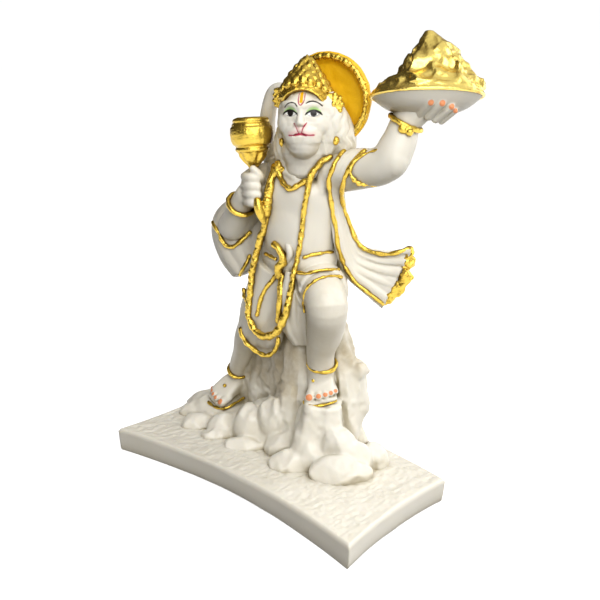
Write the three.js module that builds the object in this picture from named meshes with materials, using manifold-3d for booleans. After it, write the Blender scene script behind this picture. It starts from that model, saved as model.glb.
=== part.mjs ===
// A small cast resin figure of Hanuman, mace at the right shoulder and the herb mountain on the left palm,
// standing on stones on a bowed slab. The figure, its stones and the slab are one casting: one solid.
// Millimetres, +Z up. The origin is the middle of the slab's underside; the slab's long front faces -Y.
import * as THREE from "three";
import { mergeVertices } from "three/addons/utils/BufferGeometryUtils.js";
import Module from "manifold-3d";

const wasm = await Module();
wasm.setup();

// The slab: a flat strip whose front edge bows in and whose back edge bows out.
const slabWidth = 110; // along X
const slabDepth = 50; // along Y, between the ends' corners
const slabThickness = 8.5;
const slabBow = 6; // how far the long edges bow towards the back
const slabEndBow = 1.8; // how far both ends bow in
const slabDraft = 0.9; // how much smaller the underside is, all round
const bowSteps = 8;

// The figure is set out in small equal parts, as such icons are: this many to its height, from the slab's
// top to the mountain's peak. Every size from here on is in those parts, and its Z starts at the slab's top.
const figureHeight = 140;
const partsToHeight = 140;

// Landmarks of the pose. The figure's own left is +X.
const headYaw = THREE.MathUtils.degToRad(31);
const bodyYaw = THREE.MathUtils.degToRad(10);
const headCentre = [8, 8.7, 115];
const haloCentre = [9.8, 17.4, 119.2];
const haloFacing = [0.282, -0.94, 0];
const mountainCentre = [41.8, 23.9, 121];
const maceFoot = [-7.1, 1.5, 86.7];
const maceTop = [-10.1, 2.6, 113.8];
const leftHip = [9.5, 13, 59];
const leftKnee = [22, 3.2, 57.5];
const leftAnkle = [12.8, 11.2, 31];
const rightHip = [-4, 11.8, 56];
const rightKnee = [-20.5, 9.8, 36.3];
const rightAnkle = [-32.5, 15.6, 17.6];
const leftShoulder = [14.5, 15.5, 97.5];
const leftElbow = [32.6, 17.2, 101.6];
const leftWrist = [37.4, 20, 113.5];
const rightShoulder = [-10.5, 12, 92.5];
const rightElbow = [-23.4, 6.4, 76];
const rightWrist = [-15.4, 3, 85.2];
const rightHeel = [-32.2, 20, 7.6];
const leftHeel = [8.9, 16.8, 23.4];
const stoneTurn = THREE.MathUtils.degToRad(37);
const pedestalTurn = THREE.MathUtils.degToRad(42);

const vector = ([x, y, z]) => new THREE.Vector3(x, y, z);
const level = (turn) => new THREE.Vector3(Math.cos(turn), Math.sin(turn), 0);
const bodySide = level(bodyYaw);
const headSide = level(headYaw);
const headFront = level(headYaw - Math.PI / 2);
const frontToBack = new THREE.Vector3(0, 1, 0);

// A round section pressed towards a square.
const blocky = (angle) => (Math.cos(angle) ** 4 + Math.sin(angle) ** 4) ** -0.25 - 0.1;

// A point given in the head's own directions: to its left, forwards, and up.
const onHead = (left, forward, up) =>
  vector(headCentre)
    .addScaledVector(headSide, left)
    .addScaledVector(headFront, forward)
    .add(new THREE.Vector3(0, 0, up))
    .toArray();

// A geometry as a solid, turned the right way out.
function solid(geometry) {
  const bare = geometry.clone();
  bare.deleteAttribute("normal");
  bare.deleteAttribute("uv");
  const merged = mergeVertices(bare, 1e-4);
  const triVerts = new Uint32Array(merged.index.array);
  const vertProperties = new Float32Array(merged.attributes.position.array);
  const made = new wasm.Manifold(new wasm.Mesh({ numProp: 3, vertProperties, triVerts }));
  if (made.volume() > 0) return made;
  for (let i = 0; i < triVerts.length; i += 3) {
    [triVerts[i + 1], triVerts[i + 2]] = [triVerts[i + 2], triVerts[i + 1]];
  }
  return new wasm.Manifold(new wasm.Mesh({ numProp: 3, vertProperties, triVerts }));
}

// A closed skin over a row of rings. Each ring is a closed loop of the same even number of points,
// and each end is closed by a strip across its ring.
function skin(rings) {
  const count = rings[0].length;
  const index = [];
  for (let r = 0; r + 1 < rings.length; r++) {
    for (let i = 0; i < count; i++) {
      const a = r * count + i;
      const b = r * count + ((i + 1) % count);
      index.push(a, b, b + count, a, b + count, a + count);
    }
  }
  const last = (rings.length - 1) * count;
  for (let i = 0; i < count / 2 - 1; i++) {
    const mirror = count - 1 - i;
    index.push(i, mirror, i + 1, i + 1, mirror, mirror - 1);
    index.push(last + i, last + i + 1, last + mirror, last + i + 1, last + mirror - 1, last + mirror);
  }
  const geometry = new THREE.BufferGeometry();
  const places = rings.flat().flatMap((p) => p.toArray());
  geometry.setAttribute("position", new THREE.Float32BufferAttribute(places, 3));
  geometry.setIndex(index);
  return geometry;
}

const smooth = (points) => new THREE.CatmullRomCurve3(points.map(vector), false, "centripetal");

// A rounded limb through stations [x, y, z, half width, half depth]. The width runs along `side`,
// and `shape(angle, share)` swells or pinches the section.
function limb(stations, { side = bodySide, around = 12, steps = 3, round = 0.7, shape = () => 1 } = {}) {
  const line = smooth(stations.map((s) => s.slice(0, 3)));
  const sizes = smooth(stations.map((s) => [s[3], s[4] ?? s[3], 0]));
  const total = (stations.length - 1) * steps;
  const ring = (share, shift, scale) => {
    const centre = line.getPoint(share);
    const along = line.getTangent(share);
    const wide = side.clone().addScaledVector(along, -side.dot(along)).normalize();
    const deep = along.clone().cross(wide);
    const size = sizes.getPoint(share);
    centre.addScaledVector(along, shift * Math.min(size.x, size.y) * round);
    return Array.from({ length: around }, (_, i) => {
      const angle = (2 * Math.PI * i) / around;
      const swell = scale * shape(angle, share);
      return centre
        .clone()
        .addScaledVector(wide, size.x * swell * Math.cos(angle))
        .addScaledVector(deep, size.y * swell * Math.sin(angle));
    });
  };
  const rings = [ring(0, -1, 0.6)];
  for (let i = 0; i <= total; i++) rings.push(ring(i / total, 0, 1));
  rings.push(ring(1, 1, 0.6));
  return solid(skin(rings));
}

// A cloth of some thickness between two rails, with folds that run along it and grow towards its foot.
function cloth(railA, railB, { thick = 1.6, along = 10, across = 10, folds = 3, depth = [0, 1.5] } = {}) {
  const a = smooth(railA);
  const b = smooth(railB);
  const rings = [];
  for (let v = 0; v <= along; v++) {
    const share = v / along;
    const start = a.getPoint(share);
    const span = b.getPoint(share).sub(start);
    const down = a.getTangent(share).add(b.getTangent(share));
    const out = span.clone().cross(down).normalize();
    const fold = THREE.MathUtils.lerp(depth[0], depth[1], share);
    const middle = Array.from({ length: across + 1 }, (_, u) =>
      start
        .clone()
        .addScaledVector(span, u / across)
        .addScaledVector(out, fold * Math.sin((2 * Math.PI * folds * u) / across)),
    );
    const face = (offset) => middle.map((p) => p.clone().addScaledVector(out, offset));
    rings.push([...face(thick / 2), ...face(-thick / 2).reverse()]);
  }
  return solid(skin(rings));
}

// A ball stretched to three half sizes, the first along `side`, the last upright before any tilt.
function ball(centre, [width, depth, height], { side = bodySide, tilt = 0, detail = 10 } = {}) {
  const geometry = new THREE.SphereGeometry(1, detail, Math.round(detail * 0.6));
  geometry.rotateX(Math.PI / 2).scale(width, depth, height).rotateX(tilt);
  geometry.rotateZ(Math.atan2(side.y, side.x)).translate(...centre);
  return solid(geometry);
}

// A turned form: profile [radius, height] about the line from one point towards another.
function turned(profile, from, towards, { segments = 16, shape = null } = {}) {
  const geometry = new THREE.LatheGeometry(profile.map(([r, h]) => new THREE.Vector2(r, h)), segments);
  if (shape) shape(geometry.attributes.position);
  const axis = vector(towards).sub(vector(from)).normalize();
  geometry.applyQuaternion(new THREE.Quaternion().setFromUnitVectors(new THREE.Vector3(0, 1, 0), axis));
  geometry.translate(...from);
  return solid(geometry);
}

const join = (solids) => solids.reduce((a, b) => a.add(b));

// A steady pseudo-random share from 0 to 1 for stone or lump number n.
const scatter = (n, salt) => {
  const value = Math.sin(n * 12.9898 + salt * 78.233) * 43758.5453;
  return value - Math.floor(value);
};

// The slab's outline, drawn as four bowed edges.
function slab() {
  const halfWidth = slabWidth / 2;
  const halfDepth = slabDepth / 2;
  const bowed = (from, to, bow) =>
    Array.from({ length: bowSteps }, (_, i) => {
      const share = i / bowSteps;
      const lift = 4 * share * (1 - share);
      return [
        THREE.MathUtils.lerp(from[0], to[0], share) + bow[0] * lift,
        THREE.MathUtils.lerp(from[1], to[1], share) + bow[1] * lift,
      ];
    });
  const corners = [
    [-halfWidth, -halfDepth],
    [halfWidth, -halfDepth],
    [halfWidth, halfDepth],
    [-halfWidth, halfDepth],
  ];
  const outline = [
    ...bowed(corners[0], corners[1], [0, slabBow]),
    ...bowed(corners[1], corners[2], [-slabEndBow, 0]),
    ...bowed(corners[2], corners[3], [0, slabBow]),
    ...bowed(corners[3], corners[0], [slabEndBow, 0]),
  ];
  const centre = [0, slabBow / 2];
  const ring = (z, inset) =>
    outline.map(([x, y]) => {
      const towards = new THREE.Vector2(centre[0] - x, centre[1] - y);
      const share = (inset * Math.SQRT2) / towards.length();
      return new THREE.Vector3(x + towards.x * share, y + towards.y * share, z);
    });
  const bottom = ring(0, slabDraft);
  const top = ring(slabThickness, slabDraft / 2);
  const shape = [bottom, ring(slabThickness * 0.88, 0), top];
  const middleOf = (points, z) => new THREE.Vector3(centre[0], centre[1], z);
  return solid(lidded(shape, middleOf(bottom, 0), middleOf(top, slabThickness)));
}

// A skin whose two ends are fans about a middle point, for outlines that a strip can't close.
function lidded(rings, firstMiddle, lastMiddle) {
  const count = rings[0].length;
  const points = [...rings.flat(), firstMiddle, lastMiddle];
  const index = [];
  for (let i = 0; i < count; i++) {
    const next = (i + 1) % count;
    const last = (rings.length - 1) * count;
    index.push(points.length - 2, next, i, points.length - 1, last + i, last + next);
    for (let r = 0; r + 1 < rings.length; r++) {
      const a = r * count + i;
      const b = r * count + next;
      index.push(a, b, b + count, a, b + count, a + count);
    }
  }
  const geometry = new THREE.BufferGeometry();
  const places = points.flatMap((p) => p.toArray());
  geometry.setAttribute("position", new THREE.Float32BufferAttribute(places, 3));
  geometry.setIndex(index);
  return geometry;
}

// Split stones about the foot of the mound: the middle and the three half sizes of each.
const frontStones = [
  [[11.8, -2.4, 0.6], [8, 4.8, 5.4]], [[29, 3, 1], [11, 5.6, 6.4]], [[31.8, 17.2, 1], [5, 4.8, 6.6]],
  [[24.4, 8.4, 6], [7.4, 5.4, 9.4]], [[-10, -3, 0.2], [8.6, 3.6, 3.2]], [[-24, -5.2, 0], [6.6, 3.4, 3]],
  [[-25, 0.4, 0.6], [6.4, 5.2, 6]], [[-36, -2.6, 0], [7, 5.2, 3.8]], [[-13.2, 3.6, 3.6], [6.8, 5.8, 9.8]],
  [[-3.6, 6, 10], [5.8, 5.4, 8.8]], [[3, 3.6, 1.4], [7.4, 5.4, 6.8]],
  [[17.6, 3, 2.6], [6.2, 5, 7.8]],
];

// A ball pinched here and there to a stone, its width along `stoneTurn`.
function boulder(centre, [width, depth, height], n) {
  const geometry = new THREE.SphereGeometry(1, 6, 4);
  const at = geometry.attributes.position;
  for (let i = 0; i < at.count; i++) {
    const [x, y, z] = [at.getX(i), at.getZ(i), at.getY(i)];
    const pinch = 0.96 + 0.08 * Math.sin(4 * x + n) * Math.cos(3 * z - n);
    at.setXYZ(i, x * width * pinch, y * depth * pinch, z * height * pinch);
  }
  geometry.rotateZ(stoneTurn).translate(...centre);
  return solid(geometry);
}

function stones() {
  const pedestal = [[14.2, 8, 0, 11.4, 9.6], [14.6, 8.8, 10, 8.8, 8.6], [15.4, 9.6, 20.9, 6.4, 7.8]];
  return join([
    ...frontStones.map(([centre, sizes], n) => boulder(centre, sizes, n)),
    ball([-10, 12, 0], [25, 13, 8], { detail: 6 }),
    ball([-38, 12, 0], [16, 11, 7], { detail: 7 }),
    ball([-6, 10, 2], [17, 8.6, 12.6], { detail: 6 }),
    limb(pedestal, { side: level(pedestalTurn), around: 8, steps: 1, round: 0.1, shape: blocky }),
  ]);
}

// The rock that backs the legs and fills between them, with a taller column at the figure's left.
function backRock() {
  const rugged = (angle, share) =>
    1 + 0.07 * Math.sin(5 * angle + 9 * share) + 0.05 * Math.sin(3 * angle - 14 * share);
  const spine = [
    [-4, 21, 0, 24.5, 9], [-4.4, 20.5, 14, 21.5, 8.6], [-4.4, 19.6, 28, 17, 8], [-2.6, 18, 42, 13.5, 7],
    [1, 16.8, 56, 10.5, 5],
  ];
  const column = [
    [15.5, 22.5, 2, 4, 5], [15.5, 22.5, 14, 6.7, 6.6], [15.2, 22.4, 27, 6.2, 6], [14, 22, 33, 4.2, 5],
    [11, 21, 46, 2.6, 4],
  ];
  const web = [[-24, 22, 0, 13, 8], [-21, 21.6, 20, 10.6, 6], [-14, 18.5, 36, 7, 5], [-9, 14, 43, 4.5, 4]];
  const between = [[2, 10, 0, 10, 7], [3, 12.4, 26, 6.6, 6], [3.6, 13, 42, 6, 5]];
  return join([
    limb(spine, { around: 10, steps: 1, shape: rugged }),
    limb(column, { side: level(pedestalTurn), around: 8, steps: 1, shape: rugged }),
    limb(web, { around: 7, steps: 1, shape: rugged }),
    limb(between, { around: 6, steps: 1, shape: rugged }),
    ball([20.9, 22.8, 29.4], [3, 3, 3], { detail: 5 }),
    boulder([-20, 25, 12], [5.6, 5, 7], 30),
    boulder([-3, 27.6, 15], [6.6, 4.8, 10], 31),
  ]);
}

function torso() {
  const trunk = [
    [2, 12.6, 56, 11.8, 8.6], [2, 11.4, 74, 12.6, 9.2], [2.2, 11.5, 82, 13, 8.8], [2.4, 11.8, 90, 13.4, 8.4],
    [2.8, 12.4, 96, 11.6, 7], [4.2, 11.8, 100, 7.4, 6.2], [5.8, 10.2, 106, 6.4, 6],
  ];
  return join([
    limb(trunk, { around: 11, steps: 1 }),
    ball([-1.6, 6, 90], [5.2, 2.4, 4.6], { detail: 5 }),
    ball([8, 7.4, 90.5], [5.2, 2.4, 4.6], { detail: 5 }),
  ]);
}

// Head, muzzle and nose. The mane falls fuller at the figure's left than at its right.
function head() {
  const falls = [
    [
      [6.2, 0.2, 5, 2.8, 4], [9.6, -1.8, -1, 3.4, 5], [11.2, -3.6, -6, 3.9, 5.2], [11, -4.6, -11, 4, 5],
      [9.4, -5, -15, 3.4, 4.4],
    ],
    [
      [-4.8, -1.6, 5, 2.6, 4], [-5.2, -3, -1, 2.6, 4.6], [-6.4, -4, -6, 3.4, 5], [-7.2, -4.8, -11, 3.8, 5],
      [-6.4, -5, -15, 3.4, 4.4],
    ],
  ];
  const mane = falls.map((fall) =>
    limb(
      fall.map(([left, forward, up, wide, deep]) => [...onHead(left, forward, up), wide, deep]),
      { side: headSide, around: 6, steps: 1 },
    ),
  );
  return join([
    ball(headCentre, [8.2, 8.5, 9.3], { side: headSide, detail: 10 }),
    ball(onHead(0, 4.8, -6.8), [5.6, 4.9, 5.6], { side: headSide, detail: 8 }),
    ball(onHead(0, 8.2, -1), [1.3, 1.6, 3.4], { side: headSide, tilt: 0.3, detail: 5 }),
    ball(onHead(0, -5, -6), [8, 6, 11], { side: headSide, detail: 6 }),
    ball(onHead(0, -1, -11), [8, 5, 5], { side: headSide, detail: 6 }),
    ...mane,
  ]);
}

// The tiered crown, scalloped round its tiers, with a rosette over each ear.
function crown() {
  const profile = [
    [0, -1.4], [8.5, -0.8], [8.7, 1.6], [8.3, 4.2], [7, 4.9], [6.8, 7], [5.1, 7.8], [4.6, 10], [2.6, 11.6],
    [0, 13.4],
  ];
  const lobes = 8;
  const lobeDepth = 0.035;
  const scalloped = (positions) => {
    for (let i = 0; i < positions.count; i++) {
      const lobe = Math.cos(lobes * Math.atan2(positions.getX(i), positions.getZ(i)));
      if (positions.getY(i) < 3) continue;
      positions.setX(i, positions.getX(i) * (1 + lobeDepth * lobe));
      positions.setZ(i, positions.getZ(i) * (1 + lobeDepth * lobe));
    }
  };
  const rosettes = [onHead(9.6, -0.8, 2), onHead(-7.2, -2.8, 2.6)].map((centre) =>
    ball(centre, [2.1, 2.9, 3.3], { side: headSide, detail: 5 }),
  );
  return join([
    turned(profile, onHead(0, 0, 4.4), onHead(0.2, -1.8, 17), { segments: lobes * 2, shape: scalloped }),
    ...rosettes,
  ]);
}

// The halo: a shallow dish with a ribbed rim, open to the front.
function halo() {
  const ribs = 12;
  const ribDepth = 0.7;
  const profile = [[0, -2.6], [10, -2], [14.6, 0.5], [14.6, 2.2], [13.4, 2.9], [11.4, 0.7], [0, -0.6]];
  const ribbed = (positions) => {
    for (let i = 0; i < positions.count; i++) {
      const rib = Math.round((Math.atan2(positions.getX(i), positions.getZ(i)) * ribs) / Math.PI);
      if (positions.getY(i) > 2.5 && rib % 2) positions.setY(i, positions.getY(i) - ribDepth);
    }
  };
  const facing = vector(haloCentre).add(vector(haloFacing)).toArray();
  return turned(profile, haloCentre, facing, { segments: ribs * 2, shape: ribbed });
}

// The mace, turned from its head down, with the lobed bud that hangs under the hand.
function mace() {
  const profile = [
    [0, 0], [4.9, 0.1], [5.9, 1], [6.5, 2.8], [7.1, 5.4], [6.3, 8.6], [4.8, 10.6], [3.1, 13.4], [1.6, 15],
    [1.5, 26], [0, 26.4],
  ];
  const leaf = [[-6.4, 1.5, 88, 1], [-5.6, 0.7, 84.1, 1.4], [-4.3, 1, 80.8, 0.7]];
  return join([
    turned(profile, maceTop, maceFoot, { segments: 12 }),
    limb(leaf, { around: 5, steps: 1 }),
    ball([-2.2, 1, 84.9], [2.4, 2.2, 3.4], { detail: 6 }),
  ]);
}

// The mountain on the palm: a lobed crag over a shallow bowl, tipped back so that the bowl shows.
function mountain() {
  const around = 16;
  // share of the full width, height, and shift to the viewer's right
  const levels = [
    [0.3, -5.8, 0], [0.66, -3.8, 0], [0.9, -1.2, 0], [1, 0.4, 0], [0.95, 1.6, 0], [0.8, 3.6, 1.5],
    [0.66, 5.8, 1.7], [0.53, 9.4, 1.3], [0.39, 12, 2.4], [0.23, 15, 1.7], [0.07, 18.9, 0.6],
  ];
  const [halfWidth, halfDepth] = [16.6, 12.5];
  const facingView = THREE.MathUtils.degToRad(42);
  const tipBack = THREE.MathUtils.degToRad(14);
  const rings = levels.map(([share, height, shift], n) =>
    Array.from({ length: around }, (_, i) => {
      const angle = (2 * Math.PI * i) / around;
      const rough = height > 2 && height < 17;
      const crag = rough ? 1 + 0.2 * (scatter(i, n) - 0.5) : 1;
      const lump = rough && height > 3 ? 1.4 * (scatter(i, n + 9) - 0.5) : 0;
      return new THREE.Vector3(
        shift + halfWidth * share * crag * Math.cos(angle),
        halfDepth * share * crag * Math.sin(angle),
        height + lump,
      );
    }),
  );
  const geometry = skin(rings);
  geometry.rotateX(-tipBack).rotateZ(facingView).translate(...mountainCentre);
  return solid(geometry);
}

function legs() {
  const right = [
    [...rightHip, 7.6], [-13, 10.4, 47, 6.4], [...rightKnee, 4.8], [-26.2, 12.6, 27.4, 3.9],
    [...rightAnkle, 3.5], [-33, 17.4, 9, 3.6],
  ];
  const left = [
    [...leftHip, 8], [16.5, 7.5, 60, 7.2], [...leftKnee, 6.6], [18.7, 6.4, 48, 6], [14.6, 9, 39.2, 4.8],
    [...leftAnkle, 4.5], [12.2, 11.8, 25.5, 4.5],
  ];
  return join([limb(right, { around: 8, steps: 1 }), limb(left, { around: 10, steps: 1 })]);
}

// A foot from heel to toes, on a sandal's sole. `ahead` is the level direction of its toes, and `roll`
// is how much the sole rises towards the figure's left.
function foot(heel, ahead, roll) {
  const across = new THREE.Vector3(-ahead.y, ahead.x, roll).normalize();
  const place = (forward, up) =>
    vector(heel).addScaledVector(ahead, forward).add(new THREE.Vector3(0, 0, up)).toArray();
  const instep = [
    [...place(0.6, 3.2), 4.1, 3.4], [...place(5, 4), 4.5, 3.8], [...place(8.6, 2.8), 4.6, 2.8],
    [...place(13.4, 1.2), 5.6, 1.6],
  ];
  const sole = [[...place(-1.5, -1), 3.8, 0.9], [...place(6, -1), 4.7, 0.9], [...place(13.4, -1), 5.6, 0.9]];
  return join([
    limb(instep, { side: across, around: 8, steps: 1, shape: blocky }),
    limb(sole, { side: across, around: 6, steps: 1, round: 0.9 }),
  ]);
}

function arms() {
  const left = [
    [...leftShoulder, 6.8], [24, 16.6, 99, 6.1], [...leftElbow, 5.8], [36, 18.6, 107.4, 5.4],
    [...leftWrist, 4.6], [39.6, 21.6, 118, 5.4],
  ];
  const right = [
    [...rightShoulder, 6.8], [-17.5, 10, 85, 5.9], [...rightElbow, 5.4], [-19.6, 4.6, 80, 4.6],
    [...rightWrist, 3.9], [-12, 2, 89, 3.6],
  ];
  return join([
    limb(left, { side: frontToBack, around: 9, steps: 1 }),
    limb(right, { side: frontToBack, around: 8, steps: 1 }),
    ball([36.4, 16.6, 103], [4, 4, 5], { detail: 5 }),
  ]);
}

// The right fist closed on the mace.
function fist() {
  const grip = vector(maceFoot).lerp(vector(maceTop), 0.22);
  const up = vector(maceTop).sub(vector(maceFoot)).normalize();
  const knuckles = [-6, 4.6].map((along) => {
    const { x, y, z } = grip.clone().addScaledVector(up, along);
    return [x - 0.5, y - 1.8, z, 3.4, 1.9];
  });
  const palm = [grip.x - 2.2, grip.y + 1.4, grip.z - 1.4];
  return join([ball(palm, [4.4, 3.3, 6.6], { detail: 6 }), limb(knuckles, { around: 8, steps: 2 })]);
}

// The wrapped lower cloth: the seat, the right thigh wrapped to the knee with a flap over it, pleats down
// the middle, and the left thigh bare from its root.
function lowerCloth() {
  const gathered = (angle, share) => 1 + 0.05 * share * Math.sin(7 * angle);
  const seat = [[2, 12.6, 66, 11.8, 9.4], [1.4, 12.6, 58, 13, 10.2], [0.4, 12.4, 48, 9, 7.4]];
  const skirt = [
    [-3, 8, 64, 9, 6], [-7, 7.4, 54, 9, 6.6], [-10.6, 7.2, 43.6, 8.6, 6.6], [-12.6, 11.4, 35.6, 7.4, 6],
  ];
  const flap = [[-6.4, 6.6, 47, 6, 3], [-6.9, 5.6, 42, 6.6, 3], [-7.1, 4.9, 37, 4.8, 2.2]];
  const thigh = [[...leftHip, 9.4], [13.6, 10, 60, 8.9], [17, 7.2, 59.8, 8.2]];
  return join([
    limb(seat, { around: 10, steps: 1 }),
    limb(skirt, { around: 12, steps: 1, round: 0.1, shape: gathered }),
    limb(flap, { around: 6, steps: 1, round: 0.2 }),
    limb(thigh, { around: 10, steps: 1, round: 0.1 }),
    cloth(
      [[5, 2.4, 66], [4, 0.8, 56], [3.6, 2.2, 47], [4.4, 6.4, 40]],
      [[12, 4.6, 66], [12.4, 4.6, 56], [10.8, 6.6, 47], [9.4, 9.4, 40]],
      { thick: 2.4, along: 3, across: 2, folds: 0 },
    ),
  ]);
}

// The waist sash, its knot, and the knot's two hanging ends.
function sash() {
  const belt = [[2, 12.6, 65, 12.6, 9.5], [2.1, 12.3, 68.5, 13.4, 10.2], [2.2, 12, 72, 12.7, 9.5]];
  const knot = [[1.6, 2, 75.6, 1.3], [4.4, 1.9, 74, 1.6], [1.8, 2.2, 65, 1.5]];
  const rightEnd = [[2.9, 2.8, 64.1, 1.2], [5.2, 0.1, 58, 1.2], [4, 0.5, 50.5, 1]];
  const leftEnd = [[0.4, 2.5, 63.7, 0.9], [-4.7, 0.9, 57.5, 0.9], [-6.7, 0.4, 49.9, 0.8]];
  return join([
    limb(belt, { around: 12, steps: 1, round: 0.05 }),
    ...[knot, rightEnd, leftEnd].map((line) => limb(line, { around: 5, steps: 1 })),
  ]);
}

// The long scarf: it crosses the back, falls from the left shoulder and flares out below the left arm
// to a gathered hem, and hangs over the right elbow.
function scarf() {
  const backFolds = (angle, share) => 1 + 0.06 * (0.4 + share) * Math.sin(9 * angle + 1);
  const dropFolds = (angle, share) => 1 + 0.08 * (0.3 + share) * Math.sin(5 * angle);
  const back = [
    [1.6, 15.5, 98.5, 12, 4.6], [0.8, 18.6, 90, 13, 4.4], [0.4, 20, 76, 13, 4], [0.2, 21, 62, 13, 4.2],
    [0, 22, 48, 12.4, 4.4],
  ];
  const drop = [
    [-22.8, 9.5, 80, 7, 4.8], [-26.4, 8.6, 74.4, 8, 5.2], [-25.2, 9.2, 67, 7.4, 4.9],
    [-21.6, 9.8, 60, 5.2, 4],
  ];
  const behind = [[-10, 16, 97, 5, 4], [-17, 16, 86, 6, 4.4], [-20.5, 14, 74, 6, 4.6], [-18, 15, 62, 5.4, 4]];
  const innerEdge = [
    [15, 22, 101.5], [17.8, 16, 103.8], [17.2, 11.5, 101.7], [16.8, 9.6, 98.2], [16.2, 10.4, 94],
    [15.9, 11.8, 89.1], [15.7, 13.2, 82.5], [16.1, 14.8, 74.2], [16.6, 16.4, 68.9], [18.9, 18.4, 62.9],
    [23.2, 21, 58.4], [28.2, 24.4, 53.2],
  ];
  const outerEdge = [
    [22, 24, 102], [25.3, 17, 104.6], [24.2, 12.5, 102.3], [22.8, 10.6, 97.8], [18.9, 13.5, 92.4],
    [16.5, 16.5, 88.6], [15.4, 19, 84.2], [16.1, 20.8, 79.8], [18.2, 22, 75.6], [20, 23, 72.7],
    [27, 25.7, 71.8], [35.2, 29.4, 73.3],
  ];
  const hem = [
    [35, 30, 73.2, 1.7, 1.2], [34.7, 29, 67.3, 1.8, 1.2], [33.3, 28, 60.6, 1.8, 1.2],
    [27.6, 24.8, 54.2, 1.5, 1.1],
  ];
  return join([
    limb(back, { around: 10, steps: 1, round: 0.3, shape: backFolds }),
    cloth(innerEdge, outerEdge, { thick: 2.2, along: 13, across: 4, folds: 1.5, depth: [0.2, 0.8] }),
    limb(hem, { side: new THREE.Vector3(0, 0, 1), around: 5, steps: 1 }),
    limb(drop, { around: 8, steps: 1, round: 0.4, shape: dropFolds }),
    limb(behind, { around: 6, steps: 1 }),
  ]);
}

// The long garland: a rope of flowers on the figure's right and a plain band on its left, as one loop
// from shoulder to shoulder that reaches to the knee.
function garland() {
  const line = [
    [15, 10.4, 101.4], [10.9, 8.2, 97.1], [10.1, 4.9, 89.3], [9.7, 4.7, 82.3], [8.3, 1.9, 65.2],
    [7.1, -0.6, 49.3], [3.2, -0.6, 45.4], [-1.6, -0.4, 42.6], [-5.7, -0.8, 43.6], [-8.3, -0.8, 46.3],
    [-11, 0.3, 51.4], [-9.7, 1.2, 59.2], [-8, 1, 66.5], [-6.3, 1.8, 73.5], [-6.2, 3.1, 77.6],
    [-3.2, 2.4, 83.8], [-1.5, 2.3, 88.2], [-2.7, 4, 94.9], [-1.6, 4.9, 98.1],
  ];
  const ropeRadius = 1.3;
  const side = new THREE.Vector3(1, 0.2, 0.1);
  return limb(line.map((p) => [...p, ropeRadius]), { side, around: 5, steps: 1 });
}

// The tail: up the back from the seat, over behind the mace, its tuft against the crown.
function tail() {
  const line = [
    [0, 25, 56, 2.6], [-9, 26, 68, 2.9], [-14, 22, 84, 3], [-14.6, 16, 100, 3], [-13.6, 12, 113, 2.7],
    [-10.4, 12.4, 121, 2.5], [-6.6, 12.6, 119.6, 2.2], [-4.6, 12.4, 114, 1.4],
  ];
  return limb(line, { side: frontToBack, around: 6, steps: 1 });
}

// Rings worn on the wrists, ankles and upper arm: middle, the way the limb runs, and radius.
function rings() {
  const worn = [
    [leftWrist, [4.8, 2.8, 11.9], 5.6], [rightWrist, [-8, 3.4, -9.2], 5.1],
    [[28, 16.9, 100.2], [10.1, 0.8, 2.8], 6.6], [[13.4, 11.4, 33.4], [2.2, -2.2, 7.8], 5.5],
    [rightAnkle, [12, -5.8, 18.7], 4.6],
  ];
  const band = 0.8;
  return join(
    worn.map(([at, run, radius]) => {
      const towards = vector(at).add(vector(run)).toArray();
      return turned([[0, -band], [radius, -band], [radius, band], [0, band]], at, towards, { segments: 8 });
    }),
  );
}

const figure = join([
  torso(), head(), crown(), halo(), mace(), mountain(), legs(), arms(), fist(), lowerCloth(), sash(), scarf(),
  garland(), tail(), rings(), stones(), backRock(),
  foot(rightHeel, new THREE.Vector3(-0.12, -0.99, 0), -0.3),
  foot(leftHeel, new THREE.Vector3(0.62, -0.78, 0).normalize(), 0.24),
]);

const part = figureHeight / partsToHeight;
const sunk = figure.scale([part, part, part]).translate([0, 0, slabThickness]);
const cast = sunk.subtract(below()).add(slab());

// Everything under the slab's top, so that no stone shows below the slab.
function below() {
  const reach = 2 * slabWidth;
  const depth = figureHeight;
  const box = new THREE.BoxGeometry(reach, reach, depth);
  box.translate(0, 0, slabThickness / 2 - depth / 2);
  return solid(box);
}

function meshOf(manifold) {
  const { vertProperties, triVerts } = manifold.getMesh();
  const geometry = new THREE.BufferGeometry();
  geometry.setAttribute("position", new THREE.BufferAttribute(vertProperties, 3));
  geometry.setIndex(new THREE.BufferAttribute(triVerts, 1));
  geometry.computeVertexNormals();
  return geometry;
}

const resin = new THREE.MeshStandardMaterial({ color: 0xe9e6da, roughness: 0.42, metalness: 0 });
const statue = new THREE.Mesh(meshOf(cast), resin);
statue.name = "hanuman_on_slab";

const group = new THREE.Group();
group.add(statue);

export default group;
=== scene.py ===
import bpy
import math
import numpy as np
import openvdb
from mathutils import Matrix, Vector


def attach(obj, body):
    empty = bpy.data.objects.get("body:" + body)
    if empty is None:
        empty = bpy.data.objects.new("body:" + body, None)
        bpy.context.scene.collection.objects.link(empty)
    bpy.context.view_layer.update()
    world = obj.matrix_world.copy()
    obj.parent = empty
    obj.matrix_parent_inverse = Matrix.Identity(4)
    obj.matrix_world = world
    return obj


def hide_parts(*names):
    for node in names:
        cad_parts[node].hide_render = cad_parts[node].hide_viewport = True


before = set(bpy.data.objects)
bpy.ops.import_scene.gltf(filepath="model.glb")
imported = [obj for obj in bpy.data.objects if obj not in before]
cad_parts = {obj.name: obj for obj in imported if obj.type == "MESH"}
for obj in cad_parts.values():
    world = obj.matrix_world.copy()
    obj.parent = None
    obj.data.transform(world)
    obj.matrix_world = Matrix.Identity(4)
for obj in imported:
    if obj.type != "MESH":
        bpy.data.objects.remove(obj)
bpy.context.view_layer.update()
print("frame loaded")

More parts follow.
